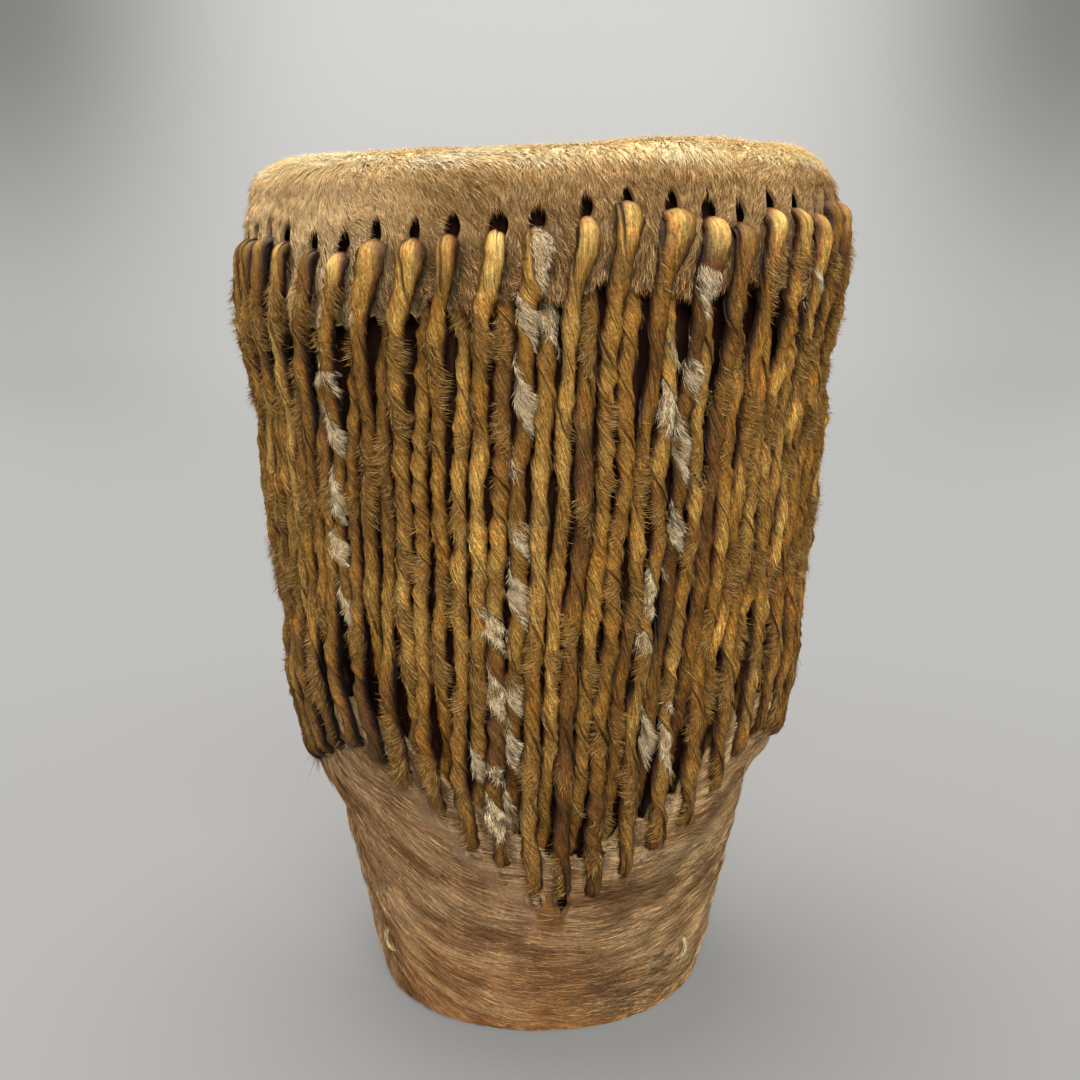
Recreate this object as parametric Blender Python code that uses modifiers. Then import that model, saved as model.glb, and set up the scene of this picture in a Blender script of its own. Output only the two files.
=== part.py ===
"""Hand drum: a hollow carved shell, a hide head and a hide base, laced together by twisted thongs.

Metres, +Z up. The origin is at the centre of the base, on the surface that the drum stands on.
Bearings are measured round the axis from the front (-Y) towards +X. The base hide dips lowest
at the front, so the thongs are longest there.
"""
import math

import bmesh
import bpy
import numpy as np
from mathutils import Vector

# Whole drum
HEIGHT = 0.250
HIDE_THICKNESS = 0.0012
FIT = 0.0004

# Carved shell
RIM_RADIUS = 0.0790
FOOT_RADIUS = 0.0480
SHOULDER_HEIGHT = 0.150
SHOULDER_SHARPNESS = 8.0
SHELL_WALL = 0.009
FOOT_OPENING_RADIUS = 0.028
FOOT_FLOOR = 0.012
RIM_ROUNDING = 0.004
FOOT_ROUNDING = 0.003
SHELL_ROWS = 8
BORE_ROWS = 4
ROUNDING_STEPS = 2

# Thongs: each one crosses several slits, and is pressed thinner where it is trapped by a hide
SLITS = 50
SLITS_PER_THONG = 5
THONG_DIAMETER = 0.0041
PINCHED_DIAMETER = 0.0034
LIP_CLEARANCE = 0.0005
STRAND_LIFT = 0.0010
TUCKED_TAIL = 0.006
TAIL_CLEARANCE = 0.001
TURN_STEPS = 4
THONG_BEVEL_RESOLUTION = 1

# Places round the drum, in steps from slit to slit: strands run side by side, half a step apart
HEAD_SLIT_PLACE = 0.5
BASE_SLIT_PLACE = 0.3
LANE = 0.25

# Slits: drop-shaped holes, round where the thong sits and pointed at the far end
SLIT_CLEARANCE = 0.0006
SLIT_TAIL = 0.008
SLIT_UNEVEN_ANGLE = math.radians(0.5)
SLIT_UNEVEN_HEIGHT = 0.0014
SLIT_ROUND_STEPS = 4
SLIT_LIP = 0.001

# Head hide: the band of hair above the slits is deepest on the left
HEAD_SLIT_DEPTH = 0.0215
HEAD_SLIT_TILT = 0.0045
FRINGE_LENGTH = 0.0165
FRINGE_UNEVEN = 0.0030

# Base hide: a squarish skin folded up, high at its four corners, low between them, lowest in front
BASE_SLIT_HEIGHT = 0.0920
BASE_FRONT_DIP = 0.0410
BASE_FRONT_BEARING = math.radians(8.0)
BASE_FRONT_HALF_WIDTH = math.radians(55.0)
BASE_SIDE_DIP = 0.0160
BASE_SIDE_HALF_WIDTH = math.radians(45.0)
BASE_EDGE_ABOVE_SLITS = 0.0120
BASE_EDGE_UNEVEN = 0.0020
BASE_FLARE_LENGTH = 0.0150
BASE_SIDE_ROWS = 2

# Short stitches that pin the base hide near the foot
STITCH_DIAMETER = 0.0018
STITCH_SPAN = 0.0070
STITCH_BEARINGS = {"base_stitch_left": math.radians(-60.0), "base_stitch_right": math.radians(53.0)}
STITCH_HEIGHT = 0.0190
STITCH_HOLE_CLEARANCE = 0.0003
STITCH_STANDOFF = 0.0014
STITCH_HOLE_SIDES = 8

# Values worked out from the sizes above
SHELL_BOTTOM = HIDE_THICKNESS + FIT
SHELL_TOP = HEIGHT - HIDE_THICKNESS - FIT
SIDE_BOTTOM = SHELL_BOTTOM + FOOT_ROUNDING
SIDE_TOP = SHELL_TOP - RIM_ROUNDING
SLIT_STEP = 2.0 * math.pi / SLITS
FIRST_COLUMN = 0.5 * math.pi
INNER_STRAND_OFFSET = FIT + PINCHED_DIAMETER / 2
HIDE_OFFSET = FIT + PINCHED_DIAMETER + LIP_CLEARANCE
LIP_OFFSET = HIDE_OFFSET + HIDE_THICKNESS / 2
OUTER_STRAND_OFFSET = HIDE_OFFSET + HIDE_THICKNESS + LIP_CLEARANCE + PINCHED_DIAMETER / 2
TURN_RADIUS = (OUTER_STRAND_OFFSET - INNER_STRAND_OFFSET) / 2
SLIT_RADIUS = PINCHED_DIAMETER / 2 + SLIT_CLEARANCE
MIDDLE_STRAND_OFFSET = FIT + THONG_DIAMETER / 2 + STRAND_LIFT


def clear_scene():
    for item in list(bpy.data.objects):
        bpy.data.objects.remove(item, do_unlink=True)


def new_collection(name):
    collection = bpy.data.collections.new(name)
    bpy.context.scene.collection.children.link(collection)
    return collection


def material(name, colour, roughness):
    made = bpy.data.materials.new(name)
    made.use_nodes = True
    shader = made.node_tree.nodes["Principled BSDF"]
    shader.inputs["Base Color"].default_value = (*colour, 1.0)
    shader.inputs["Roughness"].default_value = roughness
    shader.inputs["Metallic"].default_value = 0.0
    made.diffuse_color = (*colour, 1.0)
    return made


def object_from_bmesh(name, shape, collection):
    mesh = bpy.data.meshes.new(name)
    shape.to_mesh(mesh)
    shape.free()
    made = bpy.data.objects.new(name, mesh)
    collection.objects.link(made)
    return made


def finish_part(part, surface):
    part.data.materials.clear()
    part.data.materials.append(surface)
    part.data.shade_smooth()
    part.data.set_sharp_from_angle(angle=math.radians(40.0))


def at_bearing(bearing, radius, height):
    return Vector((radius * math.sin(bearing), -radius * math.cos(bearing), height))


def dip(bearing, middle, half_width):
    """1 at the middle bearing, easing to 0 at half_width to either side."""
    away = min(abs(math.remainder(bearing - middle, 2.0 * math.pi)) / half_width, 1.0)
    return 1.0 - away * away * (3.0 - 2.0 * away)


def uneven(index, salt):
    """An irregular number between -1 and 1 for a slit, the same on every run."""
    place = index % SLITS
    return math.sin(1.7 * place * place + 2.3 * salt)


def shell_radius(height):
    """Outer radius of the shell: a cone from the foot that rounds over into an upright wall."""
    cone = max((height - SIDE_BOTTOM) / (SHOULDER_HEIGHT - SIDE_BOTTOM), 0.0)
    share = cone / (1.0 + cone ** SHOULDER_SHARPNESS) ** (1.0 / SHOULDER_SHARPNESS)
    return FOOT_RADIUS + (RIM_RADIUS - FOOT_RADIUS) * share


def place_bearing(place):
    """Bearing of a place counted in steps from the first column of the head hide."""
    return FIRST_COLUMN + place * SLIT_STEP


def head_slit(index):
    """Bearing and height at which the thong passes through the head hide."""
    bearing = place_bearing(index + HEAD_SLIT_PLACE) + SLIT_UNEVEN_ANGLE * uneven(index, 1)
    height = HEIGHT - HEAD_SLIT_DEPTH + HEAD_SLIT_TILT * math.sin(bearing)
    return bearing, height + SLIT_UNEVEN_HEIGHT * uneven(index, 2)


def base_slit(index):
    """Bearing and height at which the thong passes through the base hide."""
    bearing = place_bearing(index + BASE_SLIT_PLACE) + SLIT_UNEVEN_ANGLE * uneven(index, 3)
    height = BASE_SLIT_HEIGHT - BASE_FRONT_DIP * dip(bearing, BASE_FRONT_BEARING, BASE_FRONT_HALF_WIDTH)
    for quarter in (1, 2, 3):
        side_bearing = BASE_FRONT_BEARING + quarter * math.pi / 2
        height -= BASE_SIDE_DIP * dip(bearing, side_bearing, BASE_SIDE_HALF_WIDTH)
    return bearing, height + SLIT_UNEVEN_HEIGHT * uneven(index, 4)


def between_slits(slit, index):
    """Mean height of a slit and the one before it, for the column of the hide between them."""
    return (slit(index - 1)[1] + slit(index)[1]) / 2


def fringe_height(index):
    """Lower edge of the head hide at the column before a slit."""
    return between_slits(head_slit, index) - FRINGE_LENGTH + FRINGE_UNEVEN * uneven(index, 5)


def base_edge_height(index):
    """Upper edge of the base hide at the column before a slit."""
    return between_slits(base_slit, index) + BASE_EDGE_ABOVE_SLITS + BASE_EDGE_UNEVEN * uneven(index, 6)


def corner_arc(centre_radius, centre_height, radius, start, end):
    """Points of a rounded corner in the profile plane, from one angle to the other."""
    points = []
    for step in range(ROUNDING_STEPS + 1):
        angle = math.radians(start + (end - start) * step / ROUNDING_STEPS)
        points.append((centre_radius + radius * math.cos(angle), centre_height + radius * math.sin(angle)))
    return points


def shell_profile():
    """Closed outline of the shell's wall: down the outside, in under the foot and up the bore."""
    outline = corner_arc(RIM_RADIUS - RIM_ROUNDING, SIDE_TOP, RIM_ROUNDING, 90.0, 0.0)
    for row in range(1, SHELL_ROWS):
        height = SIDE_TOP + (SIDE_BOTTOM - SIDE_TOP) * row / SHELL_ROWS
        outline.append((shell_radius(height), height))
    outline += corner_arc(FOOT_RADIUS - FOOT_ROUNDING, SIDE_BOTTOM, FOOT_ROUNDING, 0.0, -90.0)
    outline.append((FOOT_OPENING_RADIUS, SHELL_BOTTOM))
    outline.append((FOOT_OPENING_RADIUS, SHELL_BOTTOM + FOOT_FLOOR / 2))
    bore_bottom = SHELL_BOTTOM + FOOT_FLOOR
    for row in range(BORE_ROWS + 1):
        height = bore_bottom + (SHELL_TOP - bore_bottom) * row / BORE_ROWS
        outline.append((shell_radius(height) - SHELL_WALL, height))
    return outline


def build_shell(collection):
    shape = bmesh.new()
    ring = [shape.verts.new((radius, 0.0, height)) for radius, height in shell_profile()]
    for index, vertex in enumerate(ring):
        shape.edges.new((vertex, ring[(index + 1) % len(ring)]))
    shell = object_from_bmesh("shell", shape, collection)
    turn = shell.modifiers.new("turn", "SCREW")
    turn.axis = "Z"
    turn.steps = SLITS
    turn.render_steps = SLITS
    turn.use_merge_vertices = True
    turn.merge_threshold = 0.00001
    turn.use_smooth_shade = True
    return shell


def hide_surface(name, columns, disc_faces_up, collection):
    """An open cup of hide: a flat disc, then one ring of points for each station of the columns."""
    shape = bmesh.new()
    rings = []
    for station in range(len(columns[0][1])):
        rings.append([shape.verts.new(at_bearing(bearing, *column[station])) for bearing, column in columns])
    shape.faces.new(rings[0])
    count = len(columns)
    for upper, lower in zip(rings, rings[1:]):
        for index in range(count):
            after = (index + 1) % count
            shape.faces.new((upper[index], lower[index], lower[after], upper[after]))
    bmesh.ops.recalc_face_normals(shape, faces=shape.faces)
    shape.faces.ensure_lookup_table()
    shape.normal_update()
    if (shape.faces[0].normal.z > 0.0) != disc_faces_up:
        bmesh.ops.reverse_faces(shape, faces=shape.faces)
    hide = object_from_bmesh(name, shape, collection)
    skin = hide.modifiers.new("thickness", "SOLIDIFY")
    skin.thickness = HIDE_THICKNESS
    skin.offset = 1.0
    skin.use_even_offset = True
    skin.use_rim = True
    return hide


def build_head_hide(collection):
    """Hide over the rim and down the side, held off the shell where the thongs run behind it."""
    rim = corner_arc(RIM_RADIUS - RIM_ROUNDING, SIDE_TOP, RIM_ROUNDING + FIT, 90.0, 0.0)
    columns = []
    for index in range(SLITS):
        slit_height = between_slits(head_slit, index)
        column = list(rim)
        for height in (slit_height + SLIT_RADIUS + SLIT_LIP, slit_height - TURN_RADIUS, fringe_height(index)):
            column.append((shell_radius(height) + HIDE_OFFSET, height))
        columns.append((place_bearing(index + HEAD_SLIT_PLACE - 0.5), column))
    return hide_surface("head_hide", columns, True, collection)


def build_base_hide(collection):
    """Hide cupped under the foot and up the side, held off the shell along its slit edge."""
    foot = corner_arc(FOOT_RADIUS - FOOT_ROUNDING, SIDE_BOTTOM, FOOT_ROUNDING + FIT, -90.0, 0.0)
    columns = []
    for index in range(SLITS):
        slit_height = between_slits(base_slit, index)
        flare_top = slit_height - SLIT_RADIUS - SLIT_LIP
        flare_bottom = flare_top - BASE_FLARE_LENGTH
        column = list(foot)
        for row in range(1, BASE_SIDE_ROWS + 1):
            height = SIDE_BOTTOM + (flare_bottom - SIDE_BOTTOM) * row / BASE_SIDE_ROWS
            column.append((shell_radius(height) + FIT, height))
        for height in (flare_top, slit_height + TURN_RADIUS, base_edge_height(index)):
            column.append((shell_radius(height) + HIDE_OFFSET, height))
        columns.append((place_bearing(index + BASE_SLIT_PLACE - 0.5), column))
    return hide_surface("bottom_hide", columns, False, collection)


def add_drop(shape, bearing, height, radius, tail):
    """A drop-shaped prism through the side: round at the height given, pointed at the tail."""
    upward = 1.0 if tail > 0.0 else -1.0
    outline = [(0.0, tail)]
    for step in range(SLIT_ROUND_STEPS + 1):
        angle = math.pi * step / SLIT_ROUND_STEPS
        outline.append((SLIT_RADIUS * math.cos(angle), -upward * SLIT_RADIUS * math.sin(angle)))
    across = Vector((math.cos(bearing), math.sin(bearing), 0.0))
    outward = at_bearing(bearing, 1.0, 0.0)
    middle = at_bearing(bearing, radius, height)
    face_points = [middle + across * side + Vector((0.0, 0.0, rise)) for side, rise in outline]
    reach = outward * (HIDE_OFFSET + HIDE_THICKNESS)
    front = shape.faces.new([shape.verts.new(point - reach) for point in face_points])
    grown = bmesh.ops.extrude_face_region(shape, geom=[front])
    moved = [item for item in grown["geom"] if isinstance(item, bmesh.types.BMVert)]
    bmesh.ops.translate(shape, verts=moved, vec=reach * 2.0)


def cut_slits(hide, slit, tail, holes):
    """Cut the drop-shaped slits, and any round holes, through a hide."""
    shape = bmesh.new()
    for index in range(SLITS):
        bearing, height = slit(index)
        add_drop(shape, bearing, height, shell_radius(height) + LIP_OFFSET, tail)
    for outer_end, inner_end in holes:
        drill = outer_end - inner_end
        turn = Vector((0.0, 0.0, 1.0)).rotation_difference(drill).to_matrix().to_4x4()
        turn.translation = (outer_end + inner_end) / 2
        radius = STITCH_DIAMETER / 2 + STITCH_HOLE_CLEARANCE
        bmesh.ops.create_cone(
            shape, cap_ends=True, segments=STITCH_HOLE_SIDES, radius1=radius, radius2=radius,
            depth=drill.length, matrix=turn)
    bmesh.ops.recalc_face_normals(shape, faces=shape.faces)
    cutter = object_from_bmesh(hide.name + "_slits", shape, cutters)
    cutter.hide_render = True
    cutter.display_type = "WIRE"
    cut = hide.modifiers.new("slits", "BOOLEAN")
    cut.operation = "DIFFERENCE"
    cut.solver = "EXACT"
    cut.object = cutter


def turn_points(slit_place, upward):
    """The turn over the lip of a slit, from outside the hide to inside it."""
    bearing, height = slit_place
    points = []
    for step in range(TURN_STEPS + 1):
        angle = math.pi * step / TURN_STEPS
        offset = LIP_OFFSET + TURN_RADIUS * math.cos(angle)
        rise = TURN_RADIUS * (math.sin(angle) - 1.0) * upward
        points.append((bearing, offset, height + rise, PINCHED_DIAMETER))
    return points


def strand(start_bearing, start_height, end_bearing, end_height):
    """A strand between the edges of the hides: it starts behind one and ends over the other."""
    stations = [
        (0.0, INNER_STRAND_OFFSET, PINCHED_DIAMETER),
        (1.0 / 3.0, MIDDLE_STRAND_OFFSET, THONG_DIAMETER),
        (2.0 / 3.0, MIDDLE_STRAND_OFFSET, THONG_DIAMETER),
        (1.0, OUTER_STRAND_OFFSET, PINCHED_DIAMETER),
    ]
    points = []
    for share, offset, thickness in stations:
        bearing = start_bearing + (end_bearing - start_bearing) * share
        height = start_height + (end_height - start_height) * share
        points.append((bearing, offset, height, thickness))
    return points


def below_fringe(index):
    """Height just below the head hide's fringe at a slit."""
    return head_slit(index)[1] - FRINGE_LENGTH - FRINGE_UNEVEN


def above_base_edge(index):
    """Height just above the base hide's edge at a slit."""
    return base_slit(index)[1] + BASE_EDGE_ABOVE_SLITS + BASE_EDGE_UNEVEN


def strand_down(index):
    """From behind the head hide, down to the outside of the base hide."""
    top = place_bearing(index + HEAD_SLIT_PLACE + LANE)
    bottom = place_bearing(index + BASE_SLIT_PLACE - LANE)
    return strand(top, below_fringe(index), bottom, above_base_edge(index))


def strand_up(index):
    """From behind the base hide, up to the outside of the head hide at the next slit."""
    bottom = place_bearing(index + BASE_SLIT_PLACE + LANE)
    top = place_bearing(index + 1 + HEAD_SLIT_PLACE - LANE)
    return strand(bottom, above_base_edge(index), top, below_fringe(index + 1))


def thong_route(first_slit):
    """Route of one thong as (bearing, offset, height, thickness) points.

    It starts behind the head hide, just below the tail of the thong before it.
    """
    after_last = min(first_slit + SLITS_PER_THONG, SLITS)
    bearing, height = head_slit(first_slit)
    tail_depth = TURN_RADIUS + TUCKED_TAIL
    route = [(bearing, INNER_STRAND_OFFSET, height - tail_depth - TAIL_CLEARANCE, PINCHED_DIAMETER)]
    for index in range(first_slit, after_last):
        route += strand_down(index)
        route += turn_points(base_slit(index), -1.0)
        route += strand_up(index)
        route += turn_points(head_slit(index + 1), 1.0)
    bearing, height = head_slit(after_last)
    route.append((bearing, INNER_STRAND_OFFSET, height - tail_depth, PINCHED_DIAMETER))
    return route


def build_thong(name, first_slit, collection):
    route = thong_route(first_slit)
    curve = bpy.data.curves.new(name, "CURVE")
    curve.dimensions = "3D"
    curve.bevel_depth = THONG_DIAMETER / 2
    curve.bevel_resolution = THONG_BEVEL_RESOLUTION
    curve.use_fill_caps = True
    spline = curve.splines.new("POLY")
    spline.points.add(len(route) - 1)
    for point, (bearing, offset, height, thickness) in zip(spline.points, route):
        place = at_bearing(bearing, shell_radius(height) + offset, height)
        point.co = (*place, 1.0)
        point.radius = thickness / THONG_DIAMETER
    thong = bpy.data.objects.new(name, curve)
    collection.objects.link(thong)
    return thong


def least_gap_to_itself(first_slit):
    """Least clearance between stretches of one thong that lie well apart along it."""
    samples = []
    thickness = []
    route = thong_route(first_slit)
    places = [at_bearing(b, shell_radius(h) + offset, h) for b, offset, h, _ in route]
    for start, end, near, far in zip(places, places[1:], route, route[1:]):
        count = max(1, int((end - start).length / 0.001))
        for step in range(count):
            share = step / count
            samples.append(start.lerp(end, share))
            thickness.append(near[3] + (far[3] - near[3]) * share)
    points = np.array(samples)
    widths = np.array(thickness)
    travelled = np.concatenate(([0.0], np.cumsum(np.linalg.norm(np.diff(points, axis=0), axis=1))))
    least = 1.0
    for index in range(len(points)):
        apart = np.abs(travelled - travelled[index]) > 2.0 * math.pi * TURN_RADIUS
        distance = np.linalg.norm(points - points[index], axis=1)
        gaps = (distance - (widths + widths[index]) / 2)[apart]
        if len(gaps):
            least = min(least, float(gaps.min()))
    return least


def stitch_places(bearing):
    """Where a stitch goes in and comes out of the base hide, one above the other."""
    half = STITCH_SPAN / 2
    return [(bearing, STITCH_HEIGHT + half), (bearing, STITCH_HEIGHT - half)]


def build_stitch(name, bearing, collection):
    """A staple of thong whose two ends sit in holes through the base hide."""
    upper, lower = stitch_places(bearing)
    seat = FIT
    crown = FIT + HIDE_THICKNESS + STITCH_STANDOFF
    shoulder = STITCH_SPAN / 8
    route = [
        (upper[1], seat), (upper[1], crown - shoulder), (upper[1] - shoulder, crown),
        (lower[1] + shoulder, crown), (lower[1], crown - shoulder), (lower[1], seat),
    ]
    curve = bpy.data.curves.new(name, "CURVE")
    curve.dimensions = "3D"
    curve.bevel_depth = STITCH_DIAMETER / 2
    curve.bevel_resolution = THONG_BEVEL_RESOLUTION
    curve.use_fill_caps = True
    spline = curve.splines.new("POLY")
    spline.points.add(len(route) - 1)
    for point, (height, offset) in zip(spline.points, route):
        point.co = (*at_bearing(bearing, shell_radius(height) + offset, height), 1.0)
    stitch = bpy.data.objects.new(name, curve)
    collection.objects.link(stitch)
    return stitch


def stitch_holes():
    """The two ends of each hole that a stitch needs through the base hide."""
    holes = []
    for bearing in STITCH_BEARINGS.values():
        for _, height in stitch_places(bearing):
            radius = shell_radius(height)
            outer_end = at_bearing(bearing, radius + HIDE_OFFSET, height)
            inner_end = at_bearing(bearing, radius - FIT, height)
            holes.append((outer_end, inner_end))
    return holes


clear_scene()
parts = new_collection("hand_drum")
cutters = new_collection("cutters")

wood = material("carved_wood", (0.21, 0.12, 0.06), 0.75)
head_skin = material("head_hide_with_hair", (0.50, 0.37, 0.22), 0.85)
base_skin = material("base_hide_with_hair", (0.42, 0.32, 0.21), 0.85)
rawhide = material("twisted_rawhide", (0.35, 0.20, 0.06), 0.60)

finish_part(build_shell(parts), wood)

head_hide = build_head_hide(parts)
finish_part(head_hide, head_skin)
cut_slits(head_hide, head_slit, SLIT_TAIL, [])

base_hide = build_base_hide(parts)
finish_part(base_hide, base_skin)
cut_slits(base_hide, base_slit, -SLIT_TAIL, stitch_holes())

for first in range(0, SLITS, SLITS_PER_THONG):
    thong = build_thong(f"lace_{first // SLITS_PER_THONG + 1:02d}", first, parts)
    thong.data.materials.append(rawhide)
    print(f"{thong.name}: least gap to itself {1000 * least_gap_to_itself(first):.2f} mm")

for stitch_name, stitch_bearing in STITCH_BEARINGS.items():
    stitch = build_stitch(stitch_name, stitch_bearing, parts)
    stitch.data.materials.append(rawhide)
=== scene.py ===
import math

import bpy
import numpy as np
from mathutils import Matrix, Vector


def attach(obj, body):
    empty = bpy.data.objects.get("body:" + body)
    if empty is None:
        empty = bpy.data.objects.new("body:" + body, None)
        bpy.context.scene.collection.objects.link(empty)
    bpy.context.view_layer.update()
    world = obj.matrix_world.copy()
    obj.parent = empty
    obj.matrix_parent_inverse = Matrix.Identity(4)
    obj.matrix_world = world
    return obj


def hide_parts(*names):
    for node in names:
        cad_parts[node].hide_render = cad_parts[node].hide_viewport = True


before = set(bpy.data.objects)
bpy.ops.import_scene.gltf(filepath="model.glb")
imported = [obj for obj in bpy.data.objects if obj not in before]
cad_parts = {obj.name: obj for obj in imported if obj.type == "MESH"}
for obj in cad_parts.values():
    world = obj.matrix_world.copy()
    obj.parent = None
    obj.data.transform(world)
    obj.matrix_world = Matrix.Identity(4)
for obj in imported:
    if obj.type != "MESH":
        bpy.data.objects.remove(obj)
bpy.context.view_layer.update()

# Looks of the hand drum: twisted rawhide thongs, two hides with their hair, and a carved shell.
# Metres, in the frame of the solids. Bearings are measured round the axis from the front (-Y)
# towards +X, so a point is (r sin b, -r cos b, z). Every piece is made from the sizes below,
# which are the part's own, and from seeded random numbers.

# Sizes of the part
HEIGHT = 0.250
HIDE_THICKNESS = 0.0012
FIT = 0.0004
RIM_RADIUS = 0.0790
FOOT_RADIUS = 0.0480
SHOULDER_HEIGHT = 0.150
SHOULDER_SHARPNESS = 8.0
RIM_REACH = 0.0120
RIM_DROP = 0.0065
SHELL_WALL = 0.009
FOOT_OPENING_RADIUS = 0.028
FOOT_FLOOR = 0.012
FOOT_ROUNDING = 0.003
SLITS = 50
SLITS_PER_THONG = 5
PINCHED_DIAMETER = 0.0034
LIP_CLEARANCE = 0.0005
TUCKED_TAIL = 0.006
TAIL_CLEARANCE = 0.001
HEAD_SLIT_PLACE = 0.5
BASE_SLIT_PLACE = 0.3
LANE = 0.25
SLIT_UNEVEN_ANGLE = math.radians(0.5)
SLIT_UNEVEN_HEIGHT = 0.0014
HEAD_SLIT_DEPTH = 0.0215
HEAD_SLIT_TILT = 0.0045
FRINGE_LENGTH = 0.0165
FRINGE_UNEVEN = 0.0030
BASE_SLIT_HEIGHT = 0.0920
BASE_FRONT_DIP = 0.0410
BASE_FRONT_BEARING = math.radians(8.0)
BASE_FRONT_HALF_WIDTH = math.radians(55.0)
BASE_SIDE_DIP = 0.0160
BASE_SIDE_HALF_WIDTH = math.radians(45.0)
BASE_EDGE_ABOVE_SLITS = 0.0120
BASE_EDGE_UNEVEN = 0.0020
BASE_FLARE_LENGTH = 0.0150
STITCH_SPAN = 0.0070
STITCH_BEARINGS = {"base_stitch_left": math.radians(-60.0), "base_stitch_right": math.radians(53.0)}
STITCH_HEIGHT = 0.0190
STITCH_STANDOFF = 0.0014

# Sizes worked out from them
SHELL_BOTTOM = HIDE_THICKNESS + FIT
SHELL_TOP = HEIGHT - HIDE_THICKNESS - FIT
SIDE_BOTTOM = SHELL_BOTTOM + FOOT_ROUNDING
SIDE_TOP = SHELL_TOP - RIM_DROP
SLIT_STEP = 2.0 * math.pi / SLITS
FIRST_COLUMN = 0.5 * math.pi
INNER_STRAND_OFFSET = FIT + PINCHED_DIAMETER / 2
HIDE_OFFSET = FIT + PINCHED_DIAMETER + LIP_CLEARANCE
LIP_OFFSET = HIDE_OFFSET + HIDE_THICKNESS / 2
OUTER_STRAND_OFFSET = HIDE_OFFSET + HIDE_THICKNESS + LIP_CLEARANCE + PINCHED_DIAMETER / 2
TURN_RADIUS = (OUTER_STRAND_OFFSET - INNER_STRAND_OFFSET) / 2
HIDE_SURFACE_OFFSET = HIDE_OFFSET + HIDE_THICKNESS

# Twisted strip that a thong is made of
STRIP_HALF_WIDTH = 0.00240
STRIP_HALF_THICKNESS = 0.00188
STRAND_OFFSET = FIT + 0.0027
TWIST_PITCHES = ((0.017, 0.023), (0.022, 0.032), (0.030, 0.048))
WHITE_PITCH = 0.0160
KNOB_LIFT = 0.0006
RING_STEP = 0.0009
TURN_RINGS = 16
SETTLE_START = 0.016
SETTLE_LENGTH = 0.032
LANE_EASE = 0.018
TWIST_EASE = 0.011
BEHIND_THICKNESS = 0.72
OVER_THICKNESS = 0.92
FUZZ_HAIRS = 17000
# Painted shade at the hair roots, and paler tips, partly painted light
THONG_SHADES = (0.50, 1.55)
HEAD_SHADES = (0.58, 1.40)
BASE_SHADES = (0.88, 1.10)
PALEST = 0.93
FLOOR_GAP = 0.0003

# Detail of the hides
COLUMNS_PER_STEP = 12
COLUMNS = SLITS * COLUMNS_PER_STEP
SLIT_BELOW = 0.0022
SLIT_ABOVE = 0.0092
SLIT_HALF_OPENING = 0.0025
SLIT_SPREAD = 5.0
FLARE_TOP = 0.2485
STRAND_COVER = 0.0018
STRAND_SHADE = 0.0044
FLOW_RADIUS = 0.058
SLIT_RISES = [
    (-180, 0.0), (-90, 0.0010), (-63, 0.0025), (-51, -0.0010), (-43, -0.0008), (-32, -0.0020), (-24, -0.0002),
    (-17, -0.0017), (-9, -0.0012), (-1, -0.0010), (7, 0.0015), (15, 0.0042), (23, 0.0043), (30, 0.0005),
    (37, -0.0012), (46, 0.0032), (57, 0.0010), (70, 0.0025), (100, 0.0010), (180, 0.0),
]
RIM_RISES = [
    (-180, 0.0), (-110, -0.0006), (-68, -0.0013), (-46, -0.0017), (-26, -0.0013), (-14, -0.0015), (-4, -0.0011),
    (4, -0.0004), (12, 0.0003), (20, 0.0010), (30, 0.0018), (45, 0.0024), (55, 0.0020), (70, 0.0026),
    (100, 0.0015), (140, 0.0004), (180, 0.0),
]

# Colours, linear
FLESH = np.array((0.215, 0.102, 0.0140))
FLESH_DARK = np.array((0.100, 0.042, 0.0055))
FLESH_PALE = np.array((0.365, 0.210, 0.050))
# Painted highlight on the tops of the loops at the head
KNOB_HIGHLIGHT = np.array((0.600, 0.385, 0.120))
RUST = np.array((0.185, 0.081, 0.011))
GOLDEN_HAIR = np.array((0.480, 0.254, 0.059))
WHITE_HAIR = np.array((0.930, 0.750, 0.480))
GOLDEN_TIP = np.array((0.680, 0.445, 0.170))
SHEEN_TINT = (1.0, 0.84, 0.56, 1.0)
HIDE_EDGE = np.array((0.360, 0.215, 0.085))
HEAD_HAIR_PALE = np.array((0.860, 0.590, 0.275))
HEAD_HAIR_MIDDLE = np.array((0.430, 0.240, 0.080))
HEAD_HAIR_DARK = np.array((0.155, 0.066, 0.016))
# Painted rim light: pale cream and gold hair along the top edge
RIM_LIT_HAIR = np.array((0.880, 0.800, 0.540))
RIM_LIT_GOLD = np.array((0.910, 0.710, 0.350))
BASE_HAIR_PALE = np.array((0.660, 0.450, 0.250))
BASE_HAIR_MIDDLE = np.array((0.350, 0.190, 0.080))
BASE_HAIR_DARK = np.array((0.150, 0.066, 0.019))
TUFT_HAIR = np.array((0.700, 0.500, 0.240))
BARE_SKIN = np.array((0.200, 0.083, 0.013))
STITCH = np.array((0.560, 0.430, 0.240))
LEFT_TINT = np.array((1.16, 1.24, 1.42))
RIGHT_TINT = np.array((1.24, 1.32, 1.28))
FRONT_TINT = np.array((1.12, 1.02, 0.90))
CENTRE_TINT = np.array((0.94, 0.84, 0.68))
FOOT_TINT = np.array((1.05, 0.94, 0.78))

# Surroundings
FLOOR_COLOUR = (0.212, 0.212, 0.210, 1.0)
BACKDROP_TINT = (1.0, 0.99, 0.955)
WALL_PANELS = 8
PANEL_HEIGHT = 0.75
EVEN_FLOOR = 0.7
PATTERN_FLOOR = 2.4
SHADOW_NEAR = 0.10
SHADOW_FAR = 0.45
# Share of painted glow laid over the floor's shadow near the drum
SHADOW_LIGHTNESS = 0.35

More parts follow.
